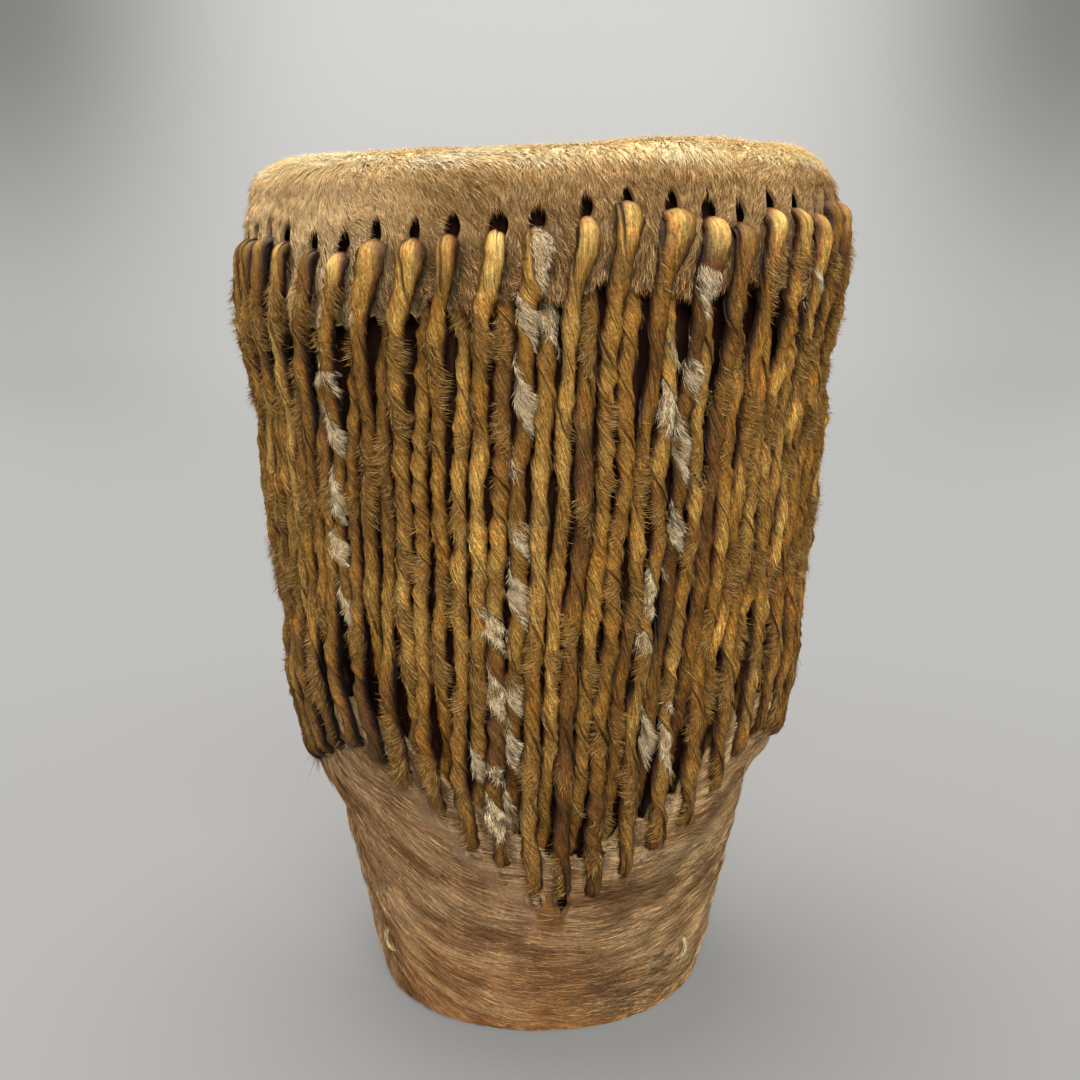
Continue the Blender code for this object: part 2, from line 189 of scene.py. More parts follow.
# Stretches of thong that still carry white hair: bearing in degrees, lowest and highest point
WHITE_STRETCHES = [
    (-0.6, 0.196, 0.232), (-2.5, 0.168, 0.206), (-4.5, 0.124, 0.160), (-6.7, 0.070, 0.118),
    (-9.8, 0.104, 0.138), (-11.5, 0.066, 0.100), (26.0, 0.198, 0.232), (24.3, 0.140, 0.206),
    (21.0, 0.122, 0.150), (24.6, 0.086, 0.114), (-41.0, 0.120, 0.205), (-33.0, 0.206, 0.228),
    (57.0, 0.196, 0.222),
    (128.0, 0.110, 0.190), (-150.0, 0.140, 0.215), (171.0, 0.100, 0.135), (-95.0, 0.120, 0.170),
]


def smooth(value):
    """0 below 0, 1 above 1, easing between them."""
    value = np.clip(value, 0.0, 1.0)
    return value * value * (3.0 - 2.0 * value)


def unit(vectors):
    return vectors / np.maximum(np.linalg.norm(vectors, axis=-1, keepdims=True), 1e-12)


def at_bearing(bearing, radius, height):
    return np.stack((radius * np.sin(bearing), -radius * np.cos(bearing), height + 0.0 * bearing), axis=-1)


def noise(points, size, seed, waves=14):
    """Smooth noise of about -1 to 1 in space, from waves of about the size given."""
    random = np.random.default_rng(seed)
    directions = unit(random.normal(size=(waves, 3)))
    numbers = 2.0 * np.pi / size * random.uniform(0.6, 1.5, waves)
    phases = random.uniform(0.0, 2.0 * np.pi, waves)
    total = np.zeros(points.shape[:-1])
    for direction, number, phase in zip(directions, numbers, phases):
        total += np.sin(points @ (direction * number) + phase)
    return total / math.sqrt(waves)


def wander(distance, size, random, waves=5):
    """Smooth noise of about -1 to 1 along a line."""
    total = np.zeros(len(distance))
    for _ in range(waves):
        number = 2.0 * np.pi / (size * random.uniform(0.6, 1.8))
        total += np.sin(distance * number + random.uniform(0.0, 2.0 * np.pi))
    return total / math.sqrt(waves)


def turned_away(bearing, middle):
    return (bearing - middle + np.pi) % (2.0 * np.pi) - np.pi


def dip(bearing, middle, half_width):
    away = np.minimum(np.abs(turned_away(bearing, middle)) / half_width, 1.0)
    return 1.0 - away * away * (3.0 - 2.0 * away)


def uneven(index, salt):
    place = np.asarray(index) % SLITS
    return np.sin(1.7 * place * place + 2.3 * salt)


def shell_radius(height):
    cone = np.maximum((height - SIDE_BOTTOM) / (SHOULDER_HEIGHT - SIDE_BOTTOM), 0.0)
    share = cone / (1.0 + cone ** SHOULDER_SHARPNESS) ** (1.0 / SHOULDER_SHARPNESS)
    return FOOT_RADIUS + (RIM_RADIUS - FOOT_RADIUS) * share


def place_bearing(place):
    return FIRST_COLUMN + place * SLIT_STEP


def slit_rise(bearing):
    """How far a head slit stands above its even ring, read off the photo across the front."""
    return np.interp(np.degrees(turned_away(bearing, 0.0)), *zip(*SLIT_RISES))


def rim_rise(bearing):
    """How far the carved rim, and the hide over it, stand above or below a level ring."""
    return np.interp(np.degrees(turned_away(bearing, 0.0)), *zip(*RIM_RISES))


def head_slit(index):
    bearing = place_bearing(index + HEAD_SLIT_PLACE) + SLIT_UNEVEN_ANGLE * uneven(index, 1)
    height = HEIGHT - HEAD_SLIT_DEPTH + HEAD_SLIT_TILT * np.sin(bearing) + slit_rise(bearing)
    return bearing, height + SLIT_UNEVEN_HEIGHT * uneven(index, 2)


def base_slit(index):
    bearing = place_bearing(index + BASE_SLIT_PLACE) + SLIT_UNEVEN_ANGLE * uneven(index, 3)
    height = BASE_SLIT_HEIGHT - BASE_FRONT_DIP * dip(bearing, BASE_FRONT_BEARING, BASE_FRONT_HALF_WIDTH)
    for quarter in (1, 2, 3):
        side_bearing = BASE_FRONT_BEARING + quarter * math.pi / 2
        height = height - BASE_SIDE_DIP * dip(bearing, side_bearing, BASE_SIDE_HALF_WIDTH)
    return bearing, height + SLIT_UNEVEN_HEIGHT * uneven(index, 4)


def fringe_height(index):
    middle = (head_slit(index - 1)[1] + head_slit(index)[1]) / 2
    return middle - FRINGE_LENGTH + FRINGE_UNEVEN * uneven(index, 5)


def base_edge_height(index):
    middle = (base_slit(index - 1)[1] + base_slit(index)[1]) / 2
    return middle + BASE_EDGE_ABOVE_SLITS + BASE_EDGE_UNEVEN * uneven(index, 6)


# Materials

def new_material(name):
    made = bpy.data.materials.new(name)
    made.use_nodes = True
    tree = made.node_tree
    return made, tree, tree.nodes["Principled BSDF"]


def add_node(tree, kind, settings=None, **inputs):
    made = tree.nodes.new(kind)
    for name, value in (settings or {}).items():
        setattr(made, name, value)
    for name, value in inputs.items():
        socket = made.inputs[name.replace("_", " ")]
        if isinstance(value, bpy.types.NodeSocket):
            tree.links.new(value, socket)
        else:
            socket.default_value = value
    return made


def ramp(tree, factor, stops):
    made = add_node(tree, "ShaderNodeValToRGB", Fac=factor)
    elements = made.color_ramp.elements
    while len(elements) < len(stops):
        elements.new(0.5)
    for element, (place, colour) in zip(elements, stops):
        element.position = place
        element.color = (*colour, 1.0)
    return made.outputs["Color"]


def math_node(tree, operation, first, second):
    made = tree.nodes.new("ShaderNodeMath")
    made.operation = operation
    for socket, value in zip(made.inputs, (first, second)):
        if isinstance(value, bpy.types.NodeSocket):
            tree.links.new(value, socket)
        else:
            socket.default_value = value
    return made.outputs["Value"]


def mix_colour(tree, blend, factor, first, second):
    made = tree.nodes.new("ShaderNodeMix")
    made.data_type = "RGBA"
    made.blend_type = blend
    for socket, value in ((made.inputs[0], factor), (made.inputs[6], first), (made.inputs[7], second)):
        if isinstance(value, bpy.types.NodeSocket):
            tree.links.new(value, socket)
        else:
            socket.default_value = value
    return made.outputs[2]


def scaled(tree, vector, scale):
    made = add_node(tree, "ShaderNodeVectorMath", {"operation": "MULTIPLY"})
    tree.links.new(vector, made.inputs[0])
    made.inputs[1].default_value = scale
    return made.outputs["Vector"]


def add_bump(tree, shader, height, distance, strength):
    bump = add_node(tree, "ShaderNodeBump", Height=height, Distance=distance, Strength=strength)
    tree.links.new(bump.outputs["Normal"], shader.inputs["Normal"])


def rawhide_material():
    """Dry rawhide: fine fibres along the strip, specks and changes of hue. Its tone comes from the mesh."""
    made, tree, shader = new_material("twisted_rawhide")
    tone = add_node(tree, "ShaderNodeAttribute", {"attribute_name": "tone"}).outputs["Color"]
    lay = add_node(tree, "ShaderNodeAttribute", {"attribute_name": "lay"}).outputs["Vector"]
    layers = {
        "speck": (2500.0, 1250.0, 900.0), "fibre": (2300.0, 300.0, 900.0),
        "strand": (1000.0, 75.0, 500.0), "hue": (620.0, 150.0, 300.0)}
    found = {}
    for name, scale in layers.items():
        found[name] = add_node(tree, "ShaderNodeTexNoise", Vector=scaled(tree, lay, scale), Scale=1.0,
                               Detail=3.0, Roughness=0.6).outputs["Fac"]
    stops = {
        "speck": [(0.38, (0.55, 0.46, 0.38)), (0.50, (1.0, 1.0, 1.0)), (0.62, (1.50, 1.55, 1.6))],
        "fibre": [(0.36, (0.42, 0.35, 0.26)), (0.50, (1.0, 1.0, 1.0)), (0.64, (1.65, 1.72, 1.9))],
        "strand": [(0.34, (0.60, 0.53, 0.43)), (0.52, (1.05, 1.05, 1.05)), (0.68, (1.35, 1.38, 1.4))],
        "hue": [(0.38, (1.12, 0.90, 0.70)), (0.62, (0.88, 1.02, 0.95))]}
    polish = add_node(tree, "ShaderNodeAttribute", {"attribute_name": "polish"}).outputs["Fac"]
    dry = math_node(tree, "MULTIPLY_ADD", polish, -0.85)
    dry.node.inputs[2].default_value = 1.0
    colour = tone
    for name, share in (("speck", 0.85), ("fibre", 0.85), ("strand", 0.85), ("hue", 0.85)):
        share = math_node(tree, "MULTIPLY", dry, share) if name != "hue" else share
        colour = mix_colour(tree, "MULTIPLY", share, colour, ramp(tree, found[name], stops[name]))
    tree.links.new(colour, shader.inputs["Base Color"])
    rough = ramp(tree, found["strand"], [(0.30, (0.50,) * 3), (0.70, (0.72,) * 3)])
    tree.links.new(rough, shader.inputs["Roughness"])
    shader.inputs["Specular IOR Level"].default_value = 0.28
    height = math_node(tree, "ADD", math_node(tree, "MULTIPLY", found["fibre"], 0.6), found["strand"])
    height = math_node(tree, "ADD", height, math_node(tree, "MULTIPLY", found["speck"], 0.35))
    height = math_node(tree, "MULTIPLY", height, dry)
    add_bump(tree, shader, height, 0.0007, 1.0)
    return made


def hair_material(name, roughness, sheen):
    """Hair: its colour comes from the mesh, a little paler and darker along each hair."""
    made, tree, shader = new_material(name)
    tone = add_node(tree, "ShaderNodeAttribute", {"attribute_name": "tone"}).outputs["Color"]
    place = add_node(tree, "ShaderNodeTexCoord").outputs["Object"]
    fleck = add_node(tree, "ShaderNodeTexNoise", Vector=place, Scale=900.0, Detail=2.0).outputs["Fac"]
    shade = ramp(tree, fleck, [(0.30, (0.76, 0.74, 0.70)), (0.70, (1.12, 1.12, 1.12))])
    tree.links.new(mix_colour(tree, "MULTIPLY", 1.0, tone, shade), shader.inputs["Base Color"])
    rough = ramp(tree, fleck, [(0.30, (roughness - 0.08,) * 3), (0.70, (roughness + 0.08,) * 3)])
    tree.links.new(rough, shader.inputs["Roughness"])
    shader.inputs["Specular IOR Level"].default_value = 0.10
    shader.inputs["Sheen Weight"].default_value = sheen
    shader.inputs["Sheen Roughness"].default_value = 0.45
    shader.inputs["Sheen Tint"].default_value = SHEEN_TINT
    add_bump(tree, shader, fleck, 0.00005, 0.3)
    return made


def skin_material(name, blotches):
    """Hide under the hair, and bare where the hair is gone: pores, creases and streaks."""
    made, tree, shader = new_material(name)
    tone = add_node(tree, "ShaderNodeAttribute", {"attribute_name": "tone"}).outputs["Color"]
    place = add_node(tree, "ShaderNodeTexCoord").outputs["Object"]
    blotch = add_node(tree, "ShaderNodeTexNoise", Vector=place, Scale=140.0, Detail=5.0,
                      Roughness=0.6).outputs["Fac"]
    pores = add_node(tree, "ShaderNodeTexVoronoi", Vector=place, Scale=1400.0).outputs["Distance"]
    shade = ramp(tree, blotch, [(0.30, (0.62, 0.57, 0.50)), (0.55, (1.0, 1.0, 1.0)), (0.75, (1.25, 1.25, 1.25))])
    tree.links.new(mix_colour(tree, "MULTIPLY", blotches, tone, shade), shader.inputs["Base Color"])
    rough = ramp(tree, blotch, [(0.30, (0.48,) * 3), (0.70, (0.78,) * 3)])
    tree.links.new(rough, shader.inputs["Roughness"])
    height = math_node(tree, "ADD", blotch, math_node(tree, "MULTIPLY", pores, 0.35))
    add_bump(tree, shader, height, 0.0006, 0.6)
    return made


def wood_material():
    """Dark carved wood: long grain, tool facets and dust, seen only between the thongs. Its near-black
    tone is partly the wood's own and partly painted shade for the deep gaps.
    """
    made, tree, shader = new_material("dark_carved_wood")
    place = add_node(tree, "ShaderNodeTexCoord").outputs["Object"]
    grain = add_node(tree, "ShaderNodeTexNoise", Vector=scaled(tree, place, (420.0, 420.0, 26.0)),
                     Scale=1.0, Detail=6.0, Roughness=0.6).outputs["Fac"]
    facets = add_node(tree, "ShaderNodeTexVoronoi", Vector=scaled(tree, place, (90.0, 90.0, 45.0)),
                      Scale=1.0).outputs["Distance"]
    # Near black: partly the wood's own dark tone, partly painted shade for the gaps between the thongs.
    colour = ramp(tree, grain, [(0.30, (0.007, 0.0022, 0.0010)), (0.55, (0.020, 0.0065, 0.0028)),
                                (0.78, (0.050, 0.020, 0.0080))])
    tree.links.new(colour, shader.inputs["Base Color"])
    rough = ramp(tree, grain, [(0.30, (0.85,) * 3), (0.75, (0.60,) * 3)])
    tree.links.new(rough, shader.inputs["Roughness"])
    shader.inputs["Specular IOR Level"].default_value = 0.08
    height = math_node(tree, "ADD", grain, math_node(tree, "MULTIPLY", facets, 0.8))
    add_bump(tree, shader, height, 0.0012, 0.7)
    return made


# Meshes

def mesh_object(name, vertices, faces, surface):
    """A mesh object from arrays: faces is a list of index arrays, each with 3 or 4 columns."""
    mesh = bpy.data.meshes.new(name)
    mesh.vertices.add(len(vertices))
    mesh.vertices.foreach_set("co", np.ascontiguousarray(vertices, dtype=np.float32).ravel())
    corners = np.concatenate([group.ravel() for group in faces])
    sides = np.concatenate([np.full(len(group), group.shape[1]) for group in faces])
    starts = np.concatenate(([0], np.cumsum(sides)[:-1]))
    mesh.loops.add(len(corners))
    mesh.loops.foreach_set("vertex_index", corners.astype(np.int32))
    mesh.polygons.add(len(sides))
    mesh.polygons.foreach_set("loop_start", starts.astype(np.int32))
    mesh.update(calc_edges=True)
    mesh.shade_smooth()
    mesh.materials.append(surface)
    made = bpy.data.objects.new(name, mesh)
    bpy.context.scene.collection.objects.link(made)
    return made


def set_tone(made, colours):
    attribute = made.data.attributes.new("tone", "FLOAT_COLOR", "POINT")
    values = np.ones((len(colours), 4), dtype=np.float32)
    values[:, :3] = colours
    attribute.data.foreach_set("color", values.ravel())


def set_lay(made, places):
    attribute = made.data.attributes.new("lay", "FLOAT_VECTOR", "POINT")
    attribute.data.foreach_set("vector", np.ascontiguousarray(places, dtype=np.float32).ravel())


def set_polish(made, shares):
    attribute = made.data.attributes.new("polish", "FLOAT", "POINT")
    attribute.data.foreach_set("value", np.clip(shares, 0.0, 1.0).astype(np.float32))


def set_atlas(made, places):
    """Where each face corner lies in the piece's own texture sheet."""
    layer = made.data.uv_layers.new(name="OFBake")
    layer.uv.foreach_set("vector", np.ascontiguousarray(np.clip(places, 0.0, 1.0), dtype=np.float32).ravel())


def finish_piece(made, slot, *nodes):
    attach(made, "root")
    if nodes:
        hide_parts(*nodes)


def hair_piece(name, roots, normals, directions, lengths, widths, lifts, droop, shades, colours, atlas, surface):
    """Hairs as thin tapered prisms: each leaves its root at a lift angle and bends over by droop.
    Shades are painted: how dark its root is, as shade under the other hairs, and how pale
    its tip, partly the hair's own paler tip and partly painted light."""
    side = unit(np.cross(directions, normals))
    first = unit(directions * np.cos(lifts)[:, None] + normals * np.sin(lifts)[:, None])
    bent = lifts - droop
    second = unit(directions * np.cos(bent)[:, None] + normals * np.sin(bent)[:, None])
    lengths = above_floor(roots, first, second, lengths)
    middles = roots + first * (lengths * 0.45)[:, None]
    tips = middles + second * (lengths * 0.55)[:, None]
    rise = np.cross(first, side)
    vertices = np.empty((len(roots), 7, 3), dtype=np.float32)
    for corner in range(3):
        angle = 2.0 * math.pi * corner / 3
        spread = side * math.cos(angle) + rise * (0.7 * math.sin(angle))
        vertices[:, corner] = roots - first * 0.0002 + spread * (widths * 0.5)[:, None]
        vertices[:, 3 + corner] = middles + spread * (widths * 0.42)[:, None]
    vertices[:, 6] = tips
    pattern = np.array([
        (0, 1, 4), (0, 4, 3), (1, 2, 5), (1, 5, 4), (2, 0, 3), (2, 3, 5),
        (3, 4, 6), (4, 5, 6), (5, 3, 6), (0, 2, 1)])
    triangles = (np.arange(len(roots)) * 7)[:, None, None] + pattern[None]
    made = mesh_object(name, vertices.reshape(-1, 3), [triangles.reshape(-1, 3)], surface)
    # Painted shade at the root, paler at the tip, partly painted light.
    shade = np.array((shades[0],) * 3 + (1.0,) * 3 + (shades[1],))
    shaded = colours[:, None, :] * shade[None, :, None]
    shaded = shaded * np.minimum(1.0, PALEST / shaded.max(axis=-1, keepdims=True))
    set_tone(made, np.maximum(shaded, 0.002).reshape(-1, 3))
    places = atlas(vertices)
    set_atlas(made, places[:, pattern.ravel()].reshape(-1, 2))
    return made


def above_floor(roots, first, second, lengths):
    """Hair lengths, shortened where the tip would go below the floor."""
    drop = -(first[:, 2] * 0.45 + second[:, 2] * 0.55) * lengths
    room = np.maximum(roots[:, 2] - FLOOR_GAP, 0.00005)
    return np.where(drop > room, lengths * room / np.maximum(drop, 1e-9), lengths)


# Thongs

def strand_line(start, end, start_lane, end_lane, end_width, end_lift, random):
    """A strand from behind one hide to over the other, as columns of a table:
    bearing, offset, height, width scale, thickness scale, turns of twist per metre."""
    start_bearing, start_height = start
    end_bearing, end_height = end
    rings = int(abs(end_height - start_height) / RING_STEP)
    share = (np.arange(rings) + 0.5) / rings
    height = start_height + (end_height - start_height) * share
    gone = np.abs(height - start_height)
    left = np.abs(height - end_height)
    middle = smooth((gone - 0.012) / 0.02) * smooth((left - 0.012) / 0.02)
    lane = start_lane + (end_lane - start_lane) * share
    bearing = lane + (start_bearing - start_lane) * (1.0 - smooth(gone / LANE_EASE))
    bearing = bearing + (end_bearing - end_lane) * (1.0 - smooth(left / LANE_EASE))
    bearing = bearing + middle * 0.00055 / 0.08 * wander(gone, 0.05, random)
    offset = INNER_STRAND_OFFSET + (STRAND_OFFSET - INNER_STRAND_OFFSET) * smooth((gone - 0.014) / 0.02)
    offset = offset + middle * 0.0005 * (0.6 + wander(gone, 0.045, random))
    over = 1.0 - smooth((left - SETTLE_START) / SETTLE_LENGTH)
    offset = offset + (OUTER_STRAND_OFFSET - offset) * over
    behind = 1.0 - smooth((gone - 0.012) / 0.012)
    ending = 1.0 - smooth(left / 0.022)
    offset = offset + end_lift * ending
    body_width = random.uniform(0.82, 1.10)
    width = body_width * (1.0 + 0.10 * wander(gone, 0.035, random))
    width = width * (1.0 - 0.05 * behind) + (end_width - width) * ending
    thickness = 1.0 + 0.10 * wander(gone, 0.03, random)
    thickness = thickness + (BEHIND_THICKNESS - thickness) * behind
    thickness = thickness + (OVER_THICKNESS - thickness) * ending
    eased = smooth((gone - 0.002) / TWIST_EASE) * smooth((left - 0.002) / TWIST_EASE)
    pitch = random.uniform(*TWIST_PITCHES[random.integers(3)]) * (1.0 + 0.22 * wander(gone, 0.08, random))
    white = white_share(at_bearing(bearing, 0.08, height), bearing)
    pitch = pitch + 0.8 * white * (WHITE_PITCH * (1.0 + 0.35 * wander(gone, 0.03, random)) - pitch)
    twist = (0.25 + 0.75 * eased) / pitch
    return np.stack((bearing, offset, height, width, thickness, twist), axis=1)


def turn_line(slit, upward, width, lift):
    """The turn over a lip, from outside the hide to inside it, in the same columns."""
    bearing, height = slit
    angle = np.pi * np.arange(TURN_RINGS + 1) / TURN_RINGS
    inside = smooth(angle / np.pi)
    offset = LIP_OFFSET + (TURN_RADIUS + lift * (1.0 - inside)) * np.cos(angle)
    rise = TURN_RADIUS * (np.sin(angle) - 1.0) * upward
    widths = width + (0.92 - width) * inside
    thickness = OVER_THICKNESS + (BEHIND_THICKNESS - OVER_THICKNESS) * inside
    twist = 8.0 * (1.0 - inside)
    columns = (bearing + 0.0 * angle, offset, height + rise, widths, thickness, twist)
    return np.stack(columns, axis=1)


def thong_line(first, random):
    """All the rings of a thong, and which strand each ring belongs to."""
    stretches = []
    labels = []
    tail_depth = TURN_RADIUS + TUCKED_TAIL
    for index in range(first, first + SLITS_PER_THONG):
        head = head_slit(index)
        base = base_slit(index)
        after = head_slit(index + 1)
        top = (head[0], head[1] - TURN_RADIUS)
        if index == first:
            top = (head[0], head[1] - tail_depth - TAIL_CLEARANCE)
        bottom = (base[0], base[1] + TURN_RADIUS)
        base_width = random.uniform(0.85, 1.15)
        head_width = random.choice((1.12, 1.32, 1.55), p=(0.30, 0.38, 0.32)) + random.uniform(-0.06, 0.08)
        down_lanes = (place_bearing(index + HEAD_SLIT_PLACE + LANE), place_bearing(index + BASE_SLIT_PLACE - LANE))
        up_lanes = (place_bearing(index + BASE_SLIT_PLACE + LANE), place_bearing(index + 1 + HEAD_SLIT_PLACE - LANE))
        next_top = (after[0], after[1] - TURN_RADIUS)
        pieces = [
            strand_line(top, bottom, *down_lanes, base_width, 0.0, random),
            turn_line(base, -1.0, base_width, 0.0),
            strand_line(bottom, next_top, *up_lanes, head_width, KNOB_LIFT, random),
            turn_line(after, 1.0, head_width, KNOB_LIFT),
        ]
        strand_number = 2 * (index - first)
        for piece, label in zip(pieces, (0, 0, 1, 1)):
            stretches.append(piece)
            labels.append(np.full(len(piece), strand_number + label))
    bearing, height = head_slit(first + SLITS_PER_THONG)
    tail = turn_line((bearing, height), 1.0, 1.0, 0.0)[-1:].repeat(6, axis=0)
    tail[:, 2] -= TUCKED_TAIL * (np.arange(6) + 1.0) / 6
    stretches.append(tail)
    labels.append(np.full(6, 2 * SLITS_PER_THONG - 1))
    return np.concatenate(stretches), np.concatenate(labels)


def strip_section():
    """Cross-section of the twisted strip: angle round it and reach, with a stepped edge on each half."""
    shares = np.array((0.0, 0.05, 0.14, 0.26, 0.39, 0.52, 0.65, 0.77, 0.87, 0.94, 0.985))
    reach = np.array((0.85, 0.91, 0.96, 1.00, 1.01, 1.01, 1.02, 1.05, 1.09, 1.12, 1.04))
    angles = np.concatenate((shares, shares + 1.0)) * np.pi
    return angles, np.tile(reach, 2), np.tile(shares, 2)


def white_share(points, lane):
    """How much of the white hair each ring of a strand carries."""
    share = np.zeros(len(points))
    for degrees, low, high in WHITE_STRETCHES:
        near = np.abs(turned_away(lane, math.radians(degrees)))
        inside = smooth((points[:, 2] - low) / 0.006) * smooth((high - points[:, 2]) / 0.006)
        share = np.maximum(share, inside * (near < math.radians(2.1)))
    return share


def build_thong(number, surface, hair_surface):
    random = np.random.default_rng(700 + number)
    first = SLITS_PER_THONG * number
    line, strand = thong_line(first, random)
    bearing, offset, height, width, thickness, twist = line.T
    centres = at_bearing(bearing, shell_radius(height) + offset, height)
    steps = np.linalg.norm(np.diff(centres, axis=0), axis=1)
    travelled = np.concatenate(([0.0], np.cumsum(steps)))
    along = unit(np.gradient(centres, axis=0))
    round_drum = np.stack((np.cos(bearing), np.sin(bearing), 0.0 * bearing), axis=1)
    across = unit(round_drum - along * np.sum(round_drum * along, axis=1)[:, None])
    outward = np.cross(along, across)
    turned = -2.0 * np.pi * np.cumsum(np.concatenate(([0.0], steps)) * twist)
    turned += random.uniform(0.0, 2.0 * np.pi)

    angles, reach, half_share = strip_section()
    edges = np.stack([wander(travelled, 0.03, random) for _ in range(2)], axis=1)
    edge_height = np.clip(0.8 + 0.9 * edges, 0.0, 2.3)[:, (angles >= np.pi).astype(int)]
    reach_here = 1.0 + (reach[None] - 1.0) * edge_height
    slack = 1.0 + 0.06 * np.sin(angles[None] * 3.0 + 9.0 * wander(travelled, 0.05, random)[:, None])
    slack = slack + 0.05 * np.sin(angles[None] * 2.0 + 7.0 * wander(travelled, 0.03, random)[:, None])
    wide = STRIP_HALF_WIDTH * reach_here * slack * np.cos(angles)[None]
    thick = STRIP_HALF_THICKNESS * reach_here * slack * np.sin(angles)[None]
    cosine = np.cos(turned)[:, None]
    sine = np.sin(turned)[:, None]
    sideways = (wide * cosine - thick * sine) * width[:, None]
    upwards = (wide * sine + thick * cosine) * thickness[:, None]
    grid = centres[:, None] + across[:, None] * sideways[..., None] + outward[:, None] * upwards[..., None]
    rough = 0.00010 * noise(grid, 0.0045, 41) + 0.00005 * noise(grid, 0.0018, 42)
    grid = grid + unit(grid - centres[:, None]) * rough[..., None]

    rings, sides = grid.shape[:2]
    index = np.arange(rings * sides).reshape(rings, sides)
    after = np.roll(index, -1, axis=1)
    quads = np.stack((index[:-1], after[:-1], after[1:], index[1:]), axis=-1).reshape(-1, 4)
    caps = [fan(index[0][::-1], rings * sides), fan(index[-1], rings * sides + 1)]
    vertices = np.concatenate((grid.reshape(-1, 3), centres[[0, -1]]))
    made = mesh_object(f"thong_{number + 1:02d}", vertices, [quads, *caps], surface)
    made.data.set_sharp_from_angle(angle=math.radians(48.0))

    away = np.sum(outward * at_bearing(bearing, 1.0, 0.0), axis=1)
    facing = upwards * away[:, None] / (np.hypot(sideways, upwards) + 1e-9)
    tone, hairy, white = thong_tone(grid, travelled, angles, half_share, strand, edge_height, facing, random)
    ends = np.stack((tone[0].mean(axis=0), tone[-1].mean(axis=0)))
    set_tone(made, np.concatenate((tone.reshape(-1, 3), ends)))
    lay = np.zeros((rings, sides, 3))
    lay[..., 0] = angles[None] * 0.0024
    lay[..., 1] = travelled[:, None]
    lay[..., 2] = 0.03 * (10 * number + strand[:, None])
    set_lay(made, np.concatenate((lay.reshape(-1, 3), lay[[0, -1], 0])))
    polish = 0.16 * smooth((grid[..., 2] - 0.150) / 0.060) + 0.34 * knob_share(grid)
    set_polish(made, np.concatenate(((polish * (1.0 - 0.5 * hairy)).ravel(), (0.0, 0.0))))
    set_atlas(made, thong_atlas(rings, sides, strand, caps))
    finish_piece(made, "rawhide_thong", f"lace_{number + 1:02d}")
    build_fuzz(number, grid, angles, tone, hairy, white, hair_surface, random)


def fan(ring, centre):
    """Triangles that close the end of a tube on a centre point."""
    return np.stack((ring, np.roll(ring, -1), np.full(len(ring), centre)), axis=1)


def thong_atlas(rings, sides, strand, caps):
    """Each strand of a thong is one upright band of the sheet."""
    bands = 2 * SLITS_PER_THONG
    first_ring = np.array([np.argmax(strand == band) for band in range(bands)])
    count = np.array([np.sum(strand == band) for band in range(bands)])
    ring = np.arange(rings - 1)
    band = strand[:-1]
    low = (ring - first_ring[band]) / (count[band] + 1.0)
    high = (ring + 1 - first_ring[band]) / (count[band] + 1.0)
    side = np.arange(sides)
    left = (band[:, None] + 0.04 + 0.92 * side[None] / sides) / bands
    right = (band[:, None] + 0.04 + 0.92 * (side[None] + 1) / sides) / bands
    low = np.repeat(low[:, None], sides, axis=1)
    high = np.repeat(high[:, None], sides, axis=1)
    corners = [(left, low), (right, low), (right, high), (left, high)]
    places = np.stack([np.stack(corner, axis=-1) for corner in corners], axis=2).reshape(-1, 2)
    extra = sum(len(cap) * 3 for cap in caps)
    return np.concatenate((places, np.full((extra, 2), 0.5 / bands)))


def knob_share(points):
    """1 on the loops at the head, 0 further down the strands."""
    bearing = np.arctan2(points[..., 0], -points[..., 1])
    slit_height = HEIGHT - HEAD_SLIT_DEPTH + HEAD_SLIT_TILT * np.sin(bearing) + slit_rise(bearing)
    return smooth((points[..., 2] - slit_height + 0.013) / 0.011)


